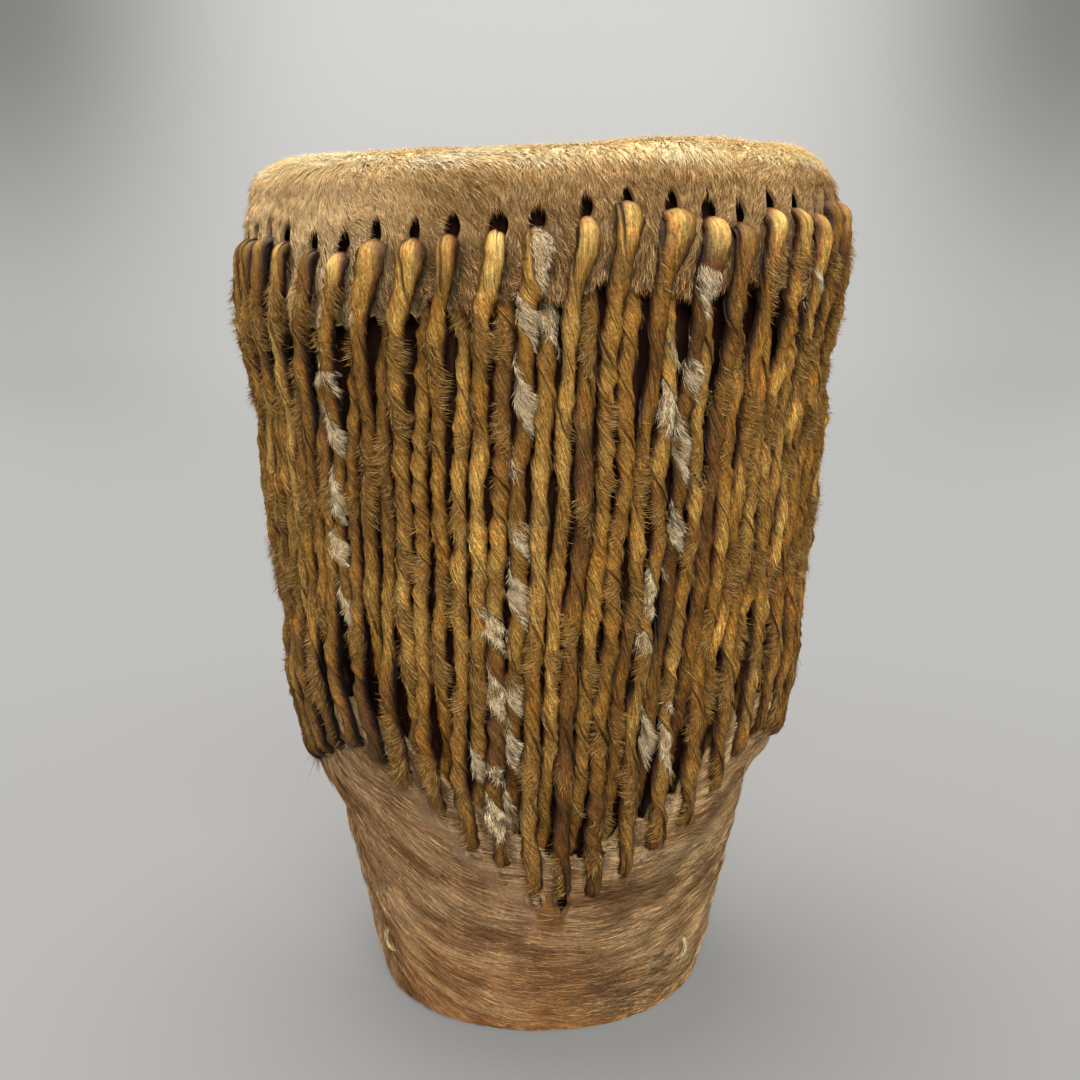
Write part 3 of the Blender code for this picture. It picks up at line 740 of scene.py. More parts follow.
def thong_tone(grid, travelled, angles, half_share, strand, edge_height, facing, random):
    """Colour of the strip: smooth flesh on one side of it, remains of hair on the other, painted
    shade on the sides of each strand and in the creases of its edges, so darker down in the gaps,
    a painted highlight on the top of each loop, and darker towards the bottom of the drum."""
    rings = len(travelled)
    strands = 2 * SLITS_PER_THONG
    depth = np.clip(random.normal(0.0, 0.45, strands), -0.8, 1.0)[strand]
    depth = depth + 0.40 * wander(travelled, 0.06, random)
    tone = FLESH[None] + np.clip(depth, 0.0, 1.0)[:, None] * (FLESH_PALE - FLESH)
    tone = tone + np.clip(-depth, 0.0, 1.0)[:, None] * (FLESH_DARK - FLESH)
    tone = np.repeat(tone[:, None], len(angles), axis=1)
    hair_side = smooth(np.sin(angles) * 3.0 + 0.2)[None]
    hairiness = random.uniform(0.0, 1.0, strands)[strand] - 0.35
    patches = smooth(1.6 * (wander(travelled, 0.045, random) + hairiness))[:, None]
    knob = knob_share(grid)
    hairy = hair_side * patches * (1.0 - 0.75 * knob)
    ring_white = np.zeros(rings)
    for band in range(strands):
        here = strand == band
        lane_points = grid[here].mean(axis=1)
        lane = np.arctan2(lane_points[:, 0], -lane_points[:, 1])
        ring_white[here] = white_share(lane_points, lane)
    white = ring_white[:, None] * smooth(np.sin(angles) * 2.6 + 0.55)[None]
    tone = tone + (0.60 * hairy)[..., None] * (RUST - tone)
    tone = tone + (white * 0.50)[..., None] * (WHITE_HAIR * 0.36 - tone)
    # Painted highlight: pale cream on the top of each loop where it faces outward, more on some loops than on
    # others.
    highlight = knob ** 2.2 * smooth((facing + 0.1) / 0.6)
    highlight = highlight * random.uniform(-0.15, 0.80, strands).clip(0.0)[strand][:, None] * (1.0 - white)
    tone = tone + highlight[..., None] * (KNOB_HIGHLIGHT - tone)
    # Painted shade in the creases along the stepped edges of the twisted strip.
    crease = np.exp(-(half_share / 0.07) ** 2) + 0.6 * np.exp(-((1.0 - half_share) / 0.05) ** 2)
    tone = tone * (1.0 - 0.50 * (crease[None] * np.clip(edge_height, 0.0, 1.6))[..., None])
    tone = tone * (1.0 + 0.18 * noise(grid, 0.02, 43)[..., None])
    degrees = np.degrees(np.arctan2(grid[..., 0], -grid[..., 1]))
    tone = tone * (1.0 + 0.18 * smooth((degrees - 22.0) / 25.0) * smooth((110.0 - degrees) / 30.0))[..., None]
    # Painted shade: each strand darker, and redder, at its sides where it turns away from the front.
    shadow = 0.13 + 0.99 * smooth((facing + 0.10) / 1.05)
    # Darker towards the bottom of the drum.
    shadow = shadow * (0.54 + 0.46 * smooth((grid[..., 2] - 0.050) / 0.085))
    # Painted shade, deeper on the strands at the left side.
    shadow = shadow ** (1.0 + 0.65 * smooth((-22.0 - degrees) / 20.0) * smooth((degrees + 110.0) / 30.0))
    tone = tone * shadow[..., None] ** (1.0, 1.18, 1.35)
    return np.clip(tone, 0.002, 1.0), hairy, white


def build_fuzz(number, grid, angles, tone, hairy, white, surface, random):
    """Nap and remains of hair on the outward parts of the strip, thickest on its hair side."""
    round_strip = unit(np.roll(grid, -1, axis=1) - grid)[:-1]
    down_strip = unit(grid[1:] - grid[:-1])
    normals = unit(np.cross(round_strip, down_strip))
    bearing = np.arctan2(grid[:-1, :, 0], -grid[:-1, :, 1])
    outward = np.stack((np.sin(bearing), -np.cos(bearing), 0.0 * bearing), axis=-1)
    facing = np.sum(normals * outward, axis=-1)
    chance = 0.30 + 1.3 * hairy[:-1] + 2.2 * white[:-1]
    chance = chance * smooth(facing * 1.6 + 0.4) * (1.0 - 0.90 * knob_share(grid[:-1]) * (1.0 - white[:-1]))
    cell = np.linalg.norm(grid[1:] - grid[:-1], axis=-1)
    cell = cell * np.linalg.norm(np.roll(grid, -1, axis=1) - grid, axis=-1)[:-1]
    weight = (chance * cell).ravel()
    count = FUZZ_HAIRS
    picked = random.choice(len(weight), count, p=weight / weight.sum())
    ring, side = np.unravel_index(picked, chance.shape)
    next_side = (side + 1) % grid.shape[1]
    one = random.uniform(size=(count, 1))
    two = random.uniform(size=(count, 1))
    near = grid[ring, side] * (1 - one) + grid[ring, next_side] * one
    far = grid[ring + 1, side] * (1 - one) + grid[ring + 1, next_side] * one
    roots = near * (1 - two) + far * two
    normal = normals[ring, side]
    pale_share = white[ring, side] * (1.0 + 0.5 * noise(roots, 0.004, 46))
    is_white = pale_share > random.uniform(0.10, 0.90, count)
    is_hair = hairy[ring, side] > random.uniform(0.10, 0.90, count)
    down = down_strip[ring, side] * np.sign(-down_strip[ring, side][:, 2:3] + 1e-6)
    combed = 0.52 + 0.34 * noise(roots, 0.024, 44)
    drift = np.where(is_hair, combed + random.normal(0.0, 0.22, count), random.normal(1.30, 0.35, count))
    drift = np.where(is_white, random.normal(1.10, 0.25, count), drift)
    directions = round_strip[ring, side] * np.cos(drift)[:, None] + down * np.sin(drift)[:, None]
    directions = unit(directions - normal * np.sum(directions * normal, axis=1)[:, None])
    lengths = random.uniform(0.0010, 0.0022, count)
    lengths = np.where(is_hair, random.uniform(0.0020, 0.0040, count), lengths)
    lengths = np.where(is_white, random.uniform(0.0022, 0.0038, count), lengths)
    widths = random.uniform(0.00013, 0.00022, count)
    lifts = np.abs(random.normal(0.20, 0.12, count))
    lifts = np.where(is_hair, np.abs(random.normal(0.36, 0.20, count)), lifts)
    lifts = np.where(is_white, np.abs(random.normal(0.20, 0.12, count)), lifts)
    own = tone[ring, side]
    shade = np.exp(random.normal(-0.10, 0.50, (count, 1)))
    golden = GOLDEN_HAIR * random.uniform(0.25, 1.05, (count, 1))
    bright = random.uniform(size=(count, 1)) < 0.22
    golden = np.where(bright, GOLDEN_TIP * random.uniform(0.6, 1.0, (count, 1)), golden)
    locks = 1.05 + 0.60 * noise(roots * (1.0, 1.0, 0.25), 0.0012, 45)[:, None]
    pale = WHITE_HAIR * random.uniform(0.60, 1.50, (count, 1)) * np.clip(locks, 0.30, 1.7)
    # Painted shade: golden and white hairs darker where the strip turns away from the front.
    turned = 0.42 + 0.66 * smooth(facing[ring, side] / 0.85)[:, None]
    colours = np.where(is_hair[:, None], golden * turned, own * shade)
    colours = np.where(is_white[:, None], pale * turned, colours)
    middle_point = grid.mean(axis=(0, 1))
    middle = math.atan2(middle_point[0], -middle_point[1])

    def atlas(points):
        around = turned_away(np.arctan2(points[..., 0], -points[..., 1]), middle)
        return np.stack((0.5 + around / math.radians(50.0), points[..., 2] / HEIGHT), axis=-1)

    made = hair_piece(f"thong_hair_{number + 1:02d}", roots, normal, directions, lengths,
                      widths, lifts, 0.20, THONG_SHADES, colours, atlas, surface)
    finish_piece(made, "rawhide_thong")


def over_columns(values, place):
    """Values given at slits or between them, spread over all the columns of a hide."""
    known = np.arange(-2, SLITS + 2)
    columns = np.arange(COLUMNS) / COLUMNS_PER_STEP
    return np.interp(columns, known + place, np.array([values(index) for index in known]))


def slit_distance():
    """Steps of columns from each column to its nearest slit, and that slit's number."""
    column = np.arange(COLUMNS)
    nearest = np.floor(column / COLUMNS_PER_STEP).astype(int)
    return column - nearest * COLUMNS_PER_STEP - COLUMNS_PER_STEP // 2, nearest


def hide_columns(slit, slit_place, salt):
    """Bearing of every column, with each slit's own column in the middle of its step."""
    shift = place_bearing(slit_place - 0.5)
    away = over_columns(lambda index: SLIT_UNEVEN_ANGLE * uneven(index, salt), 0.5)
    return shift + np.arange(COLUMNS) * SLIT_STEP / COLUMNS_PER_STEP + away


def open_slits(bearing, offset, height, slit_rows, upward, seed):
    """Spread the rows of a slit apart into a lens. Returns the left and right copies of the points."""
    random = np.random.default_rng(seed)
    distance, nearest = slit_distance()
    opening = SLIT_HALF_OPENING * random.uniform(0.75, 1.25, SLITS)[nearest]
    lips = random.uniform(0.0002, 0.0008, SLITS)[nearest]
    rows = height.shape[0]
    share = (np.arange(rows) - slit_rows[0]) / (slit_rows[1] - slit_rows[0])
    share = np.clip(share, 0.0, 1.0)
    if not upward:
        share = 1.0 - share
    lens = np.sin(np.pi * share ** 1.15) ** 1.25
    fade = np.clip(1.0 - np.abs(distance) / SLIT_SPREAD, 0.0, 1.0) ** 1.4
    push = lens[:, None] * (opening * fade)[None]
    curl = lens[:, None] * (lips * np.exp(-(distance / 1.6) ** 2))[None]
    radius = shell_radius(height) + offset + curl
    angle = push / radius
    left_sign = np.where(distance > 0, 1.0, -1.0)
    right_sign = np.where(distance < 0, -1.0, 1.0)
    left = at_bearing(bearing[None] + angle * left_sign[None], radius, height)
    right = at_bearing(bearing[None] + angle * right_sign[None], radius, height)
    return left, right


def hide_mesh(name, left, right, centre, faces_up, tone, surface):
    """A hide of real thickness from its outer surface, closed at the centre of its disc."""
    rows, columns = left.shape[:2]
    split = np.linalg.norm(left - right, axis=-1) > 1e-9
    index_left = np.arange(rows * columns).reshape(rows, columns)
    index_right = index_left.copy()
    index_right[split] = rows * columns + np.arange(split.sum())
    outer = np.concatenate((left.reshape(-1, 3), right[split], [centre]))
    outer_tone = np.concatenate((tone.reshape(-1, 3), tone[split], [tone[0].mean(axis=0)]))
    after = np.roll(index_left, -1, axis=1)
    quads = np.stack((index_right[:-1], index_right[1:], after[1:], after[:-1]), axis=-1)
    hub = np.stack((np.full(columns, len(outer) - 1), index_left[0], after[0]), axis=1)
    cell_rows = np.repeat(np.arange(rows - 1), columns)
    cell_columns = np.tile(np.arange(columns), rows - 1)
    if not faces_up:
        quads = quads[..., ::-1]
        hub = hub[:, ::-1]
    quads = quads.reshape(-1, 4)
    normals = vertex_normals(outer, quads, hub)
    inner = outer - normals * HIDE_THICKNESS
    total = len(outer)
    edges = open_edges(quads, hub)
    rims = np.stack((edges[:, 1], edges[:, 0], edges[:, 0] + total, edges[:, 1] + total), axis=1)
    faces = [quads, hub, quads[:, ::-1] + total, hub[:, ::-1] + total, rims]
    made = mesh_object(name, np.concatenate((outer, inner)), faces, surface)
    made.data.set_sharp_from_angle(angle=math.radians(55.0))
    set_tone(made, np.concatenate((outer_tone, outer_tone * 0.55)))
    set_atlas(made, hide_atlas(cell_rows, cell_columns, rows, columns, faces_up, len(rims)))
    return made


def vertex_normals(points, quads, triangles):
    normals = np.zeros_like(points)
    for group in (quads, triangles):
        first, second, third = (points[group[:, corner]] for corner in (0, 1, 2))
        facing = np.cross(second - first, third - first)
        if group.shape[1] == 4:
            facing = np.cross(third - first, points[group[:, 3]] - second)
        for corner in range(group.shape[1]):
            np.add.at(normals, group[:, corner], facing)
    return unit(normals)


def open_edges(quads, triangles):
    """Directed edges that only one face uses."""
    pairs = []
    for group in (quads, triangles):
        for corner in range(group.shape[1]):
            pairs.append(np.stack((group[:, corner], group[:, (corner + 1) % group.shape[1]]), axis=1))
    pairs = np.concatenate(pairs)
    ordered = np.sort(pairs, axis=1)
    keys = ordered[:, 0].astype(np.int64) * (ordered.max() + 1) + ordered[:, 1]
    _, where, counts = np.unique(keys, return_index=True, return_counts=True)
    return pairs[where[counts == 1]]


def hide_atlas(cell_rows, cell_columns, rows, columns, faces_up, rim_faces):
    """The outer surface takes the lower 7 tenths of the sheet, the inner surface the rest."""
    corners = np.array(((0, 0), (0, 1), (1, 1), (1, 0)))
    hub_corners = np.array(((0.5, 0.0), (0.0, 0.4), (1.0, 0.4)))
    across = (cell_columns[:, None] + corners[None, :, 0]) / columns
    down = (1.0 + cell_rows[:, None] + corners[None, :, 1]) / rows
    hub_across = (np.arange(columns)[:, None] + hub_corners[None, :, 0]) / columns
    hub_down = np.repeat(hub_corners[None, :, 1] / rows, columns, axis=0)
    if not faces_up:
        across, down = across[:, ::-1], down[:, ::-1]
        hub_across, hub_down = hub_across[:, ::-1], hub_down[:, ::-1]
    groups = []
    for start, size, flip in ((0.0, 0.70, False), (0.72, 0.24, True)):
        for wide, deep in ((across, down), (hub_across, hub_down)):
            if flip:
                wide, deep = wide[:, ::-1], deep[:, ::-1]
            groups.append(np.stack((wide, start + size * deep), axis=-1).reshape(-1, 2))
    groups.append(np.full((rim_faces * 4, 2), 0.985))
    return np.concatenate(groups)


def head_grid():
    """Outer surface of the head hide: playing face, rim, then side with its slits and fringe."""
    random = np.random.default_rng(31)
    bearing = hide_columns(head_slit, HEAD_SLIT_PLACE, 1)
    distance, nearest = slit_distance()
    between = 0.5 - 0.5 * np.cos(2.0 * np.pi * (distance / COLUMNS_PER_STEP + 0.5) + np.pi)
    slit_height = over_columns(lambda index: float(head_slit(index)[1]), HEAD_SLIT_PLACE)
    fringe = over_columns(lambda index: float(fringe_height(index)), 0.0)
    edge_points = at_bearing(bearing, 0.085, 0.22)
    fringe = fringe + 0.0010 * noise(edge_points, 0.006, 32) + 0.0006 * noise(edge_points, 0.0025, 33)
    slit_top = np.minimum(slit_height + SLIT_ABOVE, SIDE_TOP - 0.0010)
    slit_bottom = slit_height - SLIT_BELOW
    above, inside, below = 14, 13, 19
    parts = [
        SIDE_TOP + (slit_top - SIDE_TOP)[None] * (np.arange(1, above + 1) / above)[:, None],
        slit_top[None] + (slit_bottom - slit_top)[None] * (np.arange(1, inside + 1) / inside)[:, None],
        slit_bottom[None] + (fringe - slit_bottom)[None] * (np.arange(1, below + 1) / below)[:, None],
    ]
    height = np.concatenate(parts)
    offset = FIT + HIDE_THICKNESS + head_flare(height, slit_height)
    below_slit = smooth((slit_height[None] - height) / 0.006)
    to_edge = smooth((slit_height[None] - height - 0.006) / 0.010)
    curls = np.repeat(random.uniform(-0.2, 1.0, SLITS), COLUMNS_PER_STEP)
    curls = np.convolve(np.concatenate((curls[-3:], curls, curls[:3])), np.ones(7) / 7, "valid")
    swell = between[None] * (0.0010 * below_slit + 0.0024 * to_edge * curls[None])
    height = height + rim_rise(bearing)[None] * rim_part(height)
    points = at_bearing(bearing[None] + 0.0 * height, 0.085, height)
    offset = offset + swell + 0.00035 * noise(points, 0.012, 34) * smooth((SIDE_TOP - height) / 0.01)
    face = disc_rows(bearing, RIM_RADIUS, (RIM_REACH, RIM_DROP), SIDE_TOP, 22, 10)
    out = np.hypot(face[..., 0], face[..., 1])
    share = smooth((out - 0.060) / 0.018)
    face[..., :2] *= (1.0 + share * head_flare(face[..., 2], slit_height) / out)[..., None]
    near_rim = smooth((out - 0.050) / 0.020)
    lumps = smooth((face[..., 2] - SIDE_TOP) / 0.004) * noise(face, 0.03, 37)
    face[..., 2] += near_rim * (rim_rise(bearing)[None] * rim_part(face[..., 2]) + 0.0004 * lumps)
    left, right = open_slits(bearing, offset, height, (above - 1, above + inside - 1), True, 35)
    return np.concatenate((face, left)), np.concatenate((face, right)), len(face), height


def head_flare(height, slit_height):
    """How far the hide stands off the shell on its way from the rim out over the thongs behind it."""
    share = smooth((FLARE_TOP - height) / (FLARE_TOP - slit_height[None] - 0.001)) ** 0.8
    return (HIDE_OFFSET - FIT) * share


def rim_part(height):
    """How much of the rim's rise a height takes part in: none at the slits, all at the top."""
    return np.clip((height - SIDE_TOP + 0.008) / (RIM_DROP + 0.008), 0.0, 1.0)


def disc_rows(bearing, radius, corner, corner_height, rings, steps):
    """Rows of a disc and its rounded corner, from near the centre out to the side. The corner is
    a quarter of an ellipse, given by how far in it starts and how tall it is."""
    turned = 1.0 if corner_height > HEIGHT / 2 else -1.0
    gap = FIT + HIDE_THICKNESS
    rows = []
    for ring in range(rings):
        out = 0.004 + (radius - corner[0] - 0.004) * ring / (rings - 1)
        rows.append(at_bearing(bearing, out, corner_height + turned * (corner[1] + gap)))
    for step in range(1, steps + 1):
        angle = 0.5 * math.pi * (1.0 - step / steps)
        out = radius - corner[0] + (corner[0] + gap) * math.cos(angle)
        rows.append(at_bearing(bearing, out, corner_height + turned * (corner[1] + gap) * math.sin(angle)))
    return np.stack(rows)


def base_grid():
    """Outer surface of the base hide: underside, rounded foot, then side up to its slits and edge."""
    random = np.random.default_rng(51)
    bearing = hide_columns(base_slit, BASE_SLIT_PLACE, 3)
    distance, nearest = slit_distance()
    between = 0.5 - 0.5 * np.cos(2.0 * np.pi * (distance / COLUMNS_PER_STEP + 0.5) + np.pi)
    slit_height = over_columns(lambda index: float(base_slit(index)[1]), 0.5)
    edge = over_columns(lambda index: float(base_edge_height(index)), 0.0)
    edge_points = at_bearing(bearing, 0.075, 0.08)
    edge = edge + 0.0012 * noise(edge_points, 0.007, 52) + 0.0007 * noise(edge_points, 0.0025, 53)
    slit_low = slit_height - SLIT_ABOVE
    slit_high = slit_height + SLIT_BELOW
    below, inside, above = 30, 11, 14
    parts = [
        SIDE_BOTTOM + (slit_low - SIDE_BOTTOM)[None] * (np.arange(1, below + 1) / below)[:, None],
        slit_low[None] + (slit_high - slit_low)[None] * (np.arange(1, inside + 1) / inside)[:, None],
        slit_high[None] + (edge - slit_high)[None] * (np.arange(1, above + 1) / above)[:, None],
    ]
    height = np.concatenate(parts)
    flare_top = slit_height[None] - 0.0033
    flare = smooth((height - flare_top + BASE_FLARE_LENGTH) / BASE_FLARE_LENGTH)
    offset = FIT + HIDE_THICKNESS + (HIDE_OFFSET - FIT) * flare
    above_slit = smooth((height - slit_height[None]) / 0.006)
    curls = np.repeat(random.uniform(-0.2, 1.0, SLITS), COLUMNS_PER_STEP)
    curls = np.convolve(np.concatenate((curls[-3:], curls, curls[:3])), np.ones(7) / 7, "valid")
    swell = between[None] * above_slit * (0.0007 + 0.0017 * curls[None])
    points = at_bearing(bearing[None] + 0.0 * height, 0.06, height)
    offset = offset + swell + 0.0003 * noise(points, 0.014, 54) * smooth((height - SIDE_BOTTOM) / 0.01)
    face = disc_rows(bearing, FOOT_RADIUS, (FOOT_ROUNDING, FOOT_ROUNDING), SIDE_BOTTOM, 12, 7)
    left, right = open_slits(bearing, offset, height, (below - 1, below + inside - 1), False, 55)
    return np.concatenate((face, left)), np.concatenate((face, right)), len(face), height


def hide_roots(left, right, rows_from, rows_to, per_square_mm, seed):
    """Random points on a hide's surface, with the directions along and across it there."""
    random = np.random.default_rng(seed)
    first = right[rows_from:rows_to - 1]
    second = right[rows_from + 1:rows_to]
    third = np.roll(left, -1, axis=1)[rows_from + 1:rows_to]
    fourth = np.roll(left, -1, axis=1)[rows_from:rows_to - 1]
    area = np.linalg.norm(np.cross(third - first, second - fourth), axis=-1) / 2
    count = int(per_square_mm * area.sum() * 1e6)
    picked = random.choice(area.size, count, p=area.ravel() / area.sum())
    row, column = np.unravel_index(picked, area.shape)
    one = random.uniform(size=(count, 1))
    two = random.uniform(size=(count, 1))
    top = first[row, column] * (1 - one) + fourth[row, column] * one
    bottom = second[row, column] * (1 - one) + third[row, column] * one
    roots = top * (1 - two) + bottom * two
    around = unit(fourth[row, column] - first[row, column])
    along = unit(second[row, column] - first[row, column])
    return roots, around, along, row + rows_from, column, random


def strand_distance(roots, slit, lanes_sign, upward):
    """How far it is round the hide to the nearest outer strand, from its slit towards the edge."""
    bearing = np.arctan2(roots[:, 0], -roots[:, 1])
    distance = np.full(len(roots), SLIT_STEP)
    for index in range(SLITS):
        slit_bearing, slit_height = slit(index)
        beyond = (roots[:, 2] - slit_height) * upward
        across = turned_away(bearing, slit_bearing) * np.hypot(roots[:, 0], roots[:, 1])
        across = across - lanes_sign * LANE * SLIT_STEP * 0.08 * smooth(beyond / LANE_EASE)
        distance = np.where(beyond > -0.001, np.minimum(distance, np.abs(across)), distance)
    return distance


def head_flow(roots, around, up, random):
    """Direction of the head's hair: over the rim and down, leaning one way or the other by bearing."""
    bearing = np.degrees(np.arctan2(roots[:, 0], -roots[:, 1]))
    knots = [-180, -120, -75, -48, -36, -18, -6, 4, 18, 28, 40, 60, 90, 130, 180]
    flow = [-60, -70, -72, -64, -54, -44, -60, -80, -92, -104, -134, -152, -120, -80, -60]
    degrees = np.interp(bearing, knots, flow)
    degrees = degrees + 13.0 * noise(roots, 0.022, 72) + 9.0 * noise(roots, 0.006, 73)
    degrees = degrees + 12.0 * noise(roots, 0.0022, 76)
    angle = np.radians(degrees + random.normal(0.0, 12.0, len(roots)))
    return around * np.cos(angle)[:, None] + up * np.sin(angle)[:, None]


def near_slit(roots, slit, beyond_sign):
    """1 close beside the open end of a slit, 0 away from it."""
    bearing = np.arctan2(roots[:, 0], -roots[:, 1])
    radius = np.hypot(roots[:, 0], roots[:, 1])
    near = np.zeros(len(roots))
    for index in range(SLITS):
        slit_bearing, slit_height = slit(index)
        across = np.abs(turned_away(bearing, slit_bearing)) * radius
        beyond = (roots[:, 2] - slit_height) * beyond_sign
        here = smooth((0.0055 - across) / 0.003) * smooth((0.0095 - beyond) / 0.002) * (beyond > -0.001)
        near = np.maximum(near, here)
    return near


def build_head_fur(left, right, face_rows, surface):
    side_rows = (face_rows - 4, left.shape[0])
    roots, around, along, row, column, random = hide_roots(left, right, *side_rows, 5.8, 71)
    up = -along
    distance = strand_distance(roots, head_slit, -1.0, -1.0)
    keep = distance > 0.7 * STRAND_COVER
    roots, around, up, column, distance = roots[keep], around[keep], up[keep], column[keep], distance[keep]
    normals = unit(np.cross(around, up))
    directions = head_flow(roots, around, up, random)
    # Painted shade on the hair close beside each outer strand.
    beside = smooth((STRAND_SHADE - distance) / (STRAND_SHADE - STRAND_COVER))
    colours = head_colours(roots, random) * (1.0 - 0.70 * beside)[:, None]
    lengths = random.uniform(0.0036, 0.0062, len(roots))
    fringe = over_columns(lambda index: float(fringe_height(index)), 0.0)[column]
    to_edge = np.maximum(roots[:, 2] - fringe, 0.0)
    lengths = np.minimum(lengths * (0.55 + 0.45 * smooth(to_edge / 0.012)), 1.15 * to_edge + 0.0024)
    lengths = lengths * (1.0 - 0.5 * near_slit(roots, head_slit, 1.0))
    widths = random.uniform(0.00010, 0.00018, len(roots))
    rim = smooth((roots[:, 2] - 0.2430) / 0.003)
    lifts = np.abs(random.normal(0.20, 0.09, len(roots)) + 0.10 * noise(roots, 0.003, 77)) * (1.0 - 0.45 * rim)
    split_hair("head_hair", roots, normals, directions, lengths, widths, lifts, HEAD_SHADES, colours, surface,
               "head_hide", 8)


def head_colours(roots, random):
    """Pale golden beige with tan and brown streaks, palest on the left, partly as painted light,
    darker down the fringe, and with painted rim light along the top edge.
    """
    bearing = np.degrees(np.arctan2(roots[:, 0], -roots[:, 1]))
    mix = 0.04 + 0.22 * noise(roots, 0.030, 74) + 0.26 * noise(roots, 0.005, 75)
    mix = mix + random.normal(0.0, 0.60, len(roots))
    # Paler on the left side, partly the hair's own colour and partly painted light.
    mix = mix + 0.95 * smooth((-20.0 - bearing) / 16.0) * smooth((bearing + 120.0) / 30.0)
    depth = smooth((0.2330 - roots[:, 2]) / 0.012)
    mix = mix - 0.35 * depth
    colours = HEAD_HAIR_MIDDLE + np.clip(mix, 0.0, 1.0)[:, None] * (HEAD_HAIR_PALE - HEAD_HAIR_MIDDLE)
    colours = colours + np.clip(-mix, 0.0, 1.0)[:, None] * (HEAD_HAIR_DARK - HEAD_HAIR_MIDDLE)
    glow = roots[:, 2] - rim_rise(np.radians(bearing)) * rim_part(roots[:, 2])
    glow = glow + 0.0010 * noise(roots, 0.010, 78) + random.normal(0.0, 0.0007, len(roots))
    # Partly painted light: paler and cooler on the left side.
    left = smooth((-18.0 - bearing) / 20.0) * smooth((bearing + 120.0) / 30.0)
    colours = colours * (1.0 + left[:, None] * (LEFT_TINT - 1.0))
    # Painted rim light along the top edge.
    colours = rim_glow(colours, roots, smooth((glow - glow_start(bearing)) / 0.0030), random)
    streak = np.exp(random.normal(0.0, 0.60, len(roots)) * depth)
    streak = np.where(random.uniform(size=len(roots)) < 0.16 * depth, 2.2, streak)
    return colours * ((1.0 - 0.12 * depth) * streak)[:, None]


def glow_start(degrees):
    """Height at which the painted rim light begins: lower at the left side and from the front to the right."""
    right = smooth(degrees / 20.0) * smooth((95.0 - degrees) / 30.0)
    left = smooth((-35.0 - degrees) / 20.0) * smooth((degrees + 120.0) / 30.0)
    return 0.2474 - 0.0022 * right - 0.0012 * left


def rim_light_colour(points):
    """Painted rim light: pale cream at the left of the rim, with patches of gold towards the right."""
    bearing = np.degrees(np.arctan2(points[..., 0], -points[..., 1]))
    gold = smooth(0.50 + 0.5 * smooth((bearing + 20.0) / 40.0) + 0.6 * noise(points, 0.020, 79))
    return RIM_LIT_HAIR + gold[..., None] * (RIM_LIT_GOLD - RIM_LIT_HAIR)


def rim_glow(colours, roots, share, random):
    """Painted rim light: the hair at the rim paled towards the lit colour of the rim."""
    pale = rim_light_colour(roots) * random.uniform(0.75, 1.10, (len(colours), 1))
    return colours + 0.92 * share[:, None] * (pale - colours)


def build_face_fur(left, right, face_rows, surface):
    """Hair on the playing face: long near the rim, worn short towards the middle."""
    roots, around, along, row, column, random = hide_roots(left, right, 0, face_rows - 3, 1.7, 81)
    normals = unit(np.cross(along, around))
    out = np.hypot(roots[:, 0], roots[:, 1])
    near_rim = smooth((out - 0.035) / 0.035)
    swirl = 0.4 + 0.35 * noise(roots, 0.06, 82) + 0.12 * noise(roots, 0.012, 83)
    swirl = swirl + random.normal(0.0, 0.12, len(roots))
    flow = np.stack((np.cos(swirl), np.sin(swirl), np.zeros(len(roots))), axis=1)
    flow = flow + near_rim[:, None] * (head_flow(roots, around, -along, random) - flow)
    directions = unit(flow - normals * np.sum(flow * normals, axis=1)[:, None])
    lengths = random.uniform(0.0022, 0.0032, len(roots)) + 0.0026 * near_rim
    widths = random.uniform(0.00018, 0.00030, len(roots))
    lifts = np.abs(random.normal(0.22, 0.10, len(roots)))
    mix = 0.35 * noise(roots, 0.035, 84) + 0.18 * noise(roots, 0.008, 85) + random.normal(0.05, 0.32, len(roots))
    colours = HEAD_HAIR_MIDDLE + np.clip(mix, 0.0, 1.0)[:, None] * (HEAD_HAIR_PALE - HEAD_HAIR_MIDDLE)
    colours = colours + np.clip(-mix, 0.0, 1.0)[:, None] * (HEAD_HAIR_DARK - HEAD_HAIR_MIDDLE)
    # Painted rim light near the edge of the face.
    colours = rim_glow(colours, roots, 0.8 * smooth((out - 0.056) / 0.014), random)
    flat_piece("face_hair", roots, normals, directions, lengths, widths, lifts, colours, surface)


def flat_piece(name, roots, normals, directions, lengths, widths, lifts, colours, surface):
    halves = np.array_split(np.argsort(roots[:, 1]), 2)
    for number, chosen in enumerate(halves):
        def atlas(points):
            return 0.5 + points[..., :2] / (2.2 * RIM_RADIUS)
        made = hair_piece(f"{name}_{number + 1}", roots[chosen], normals[chosen], directions[chosen],
                          lengths[chosen], widths[chosen], lifts[chosen], 0.15, HEAD_SHADES,
                          colours[chosen], atlas, surface)
        finish_piece(made, "head_hide")


def split_hair(name, roots, normals, directions, lengths, widths, lifts, shades, colours, surface, slot, count):
    """Hair round the drum in several pieces, each with its own stretch of bearings."""
    bearing = np.arctan2(roots[:, 0], -roots[:, 1])
    low, high = roots[:, 2].min() - 0.01, roots[:, 2].max() + 0.01
    width = 2.0 * np.pi / count
    for number in range(count):
        middle = -np.pi + (number + 0.5) * width
        chosen = np.abs(turned_away(bearing, middle)) <= width / 2

        def atlas(points):
            around = turned_away(np.arctan2(points[..., 0], -points[..., 1]), middle)
            return np.stack((0.5 + around / (1.15 * width), (points[..., 2] - low) / (high - low)), axis=-1)

        made = hair_piece(f"{name}_{number + 1}", roots[chosen], normals[chosen], directions[chosen],
                          lengths[chosen], widths[chosen], lifts[chosen], 0.22, shades,
                          colours[chosen], atlas, surface)
        finish_piece(made, slot)


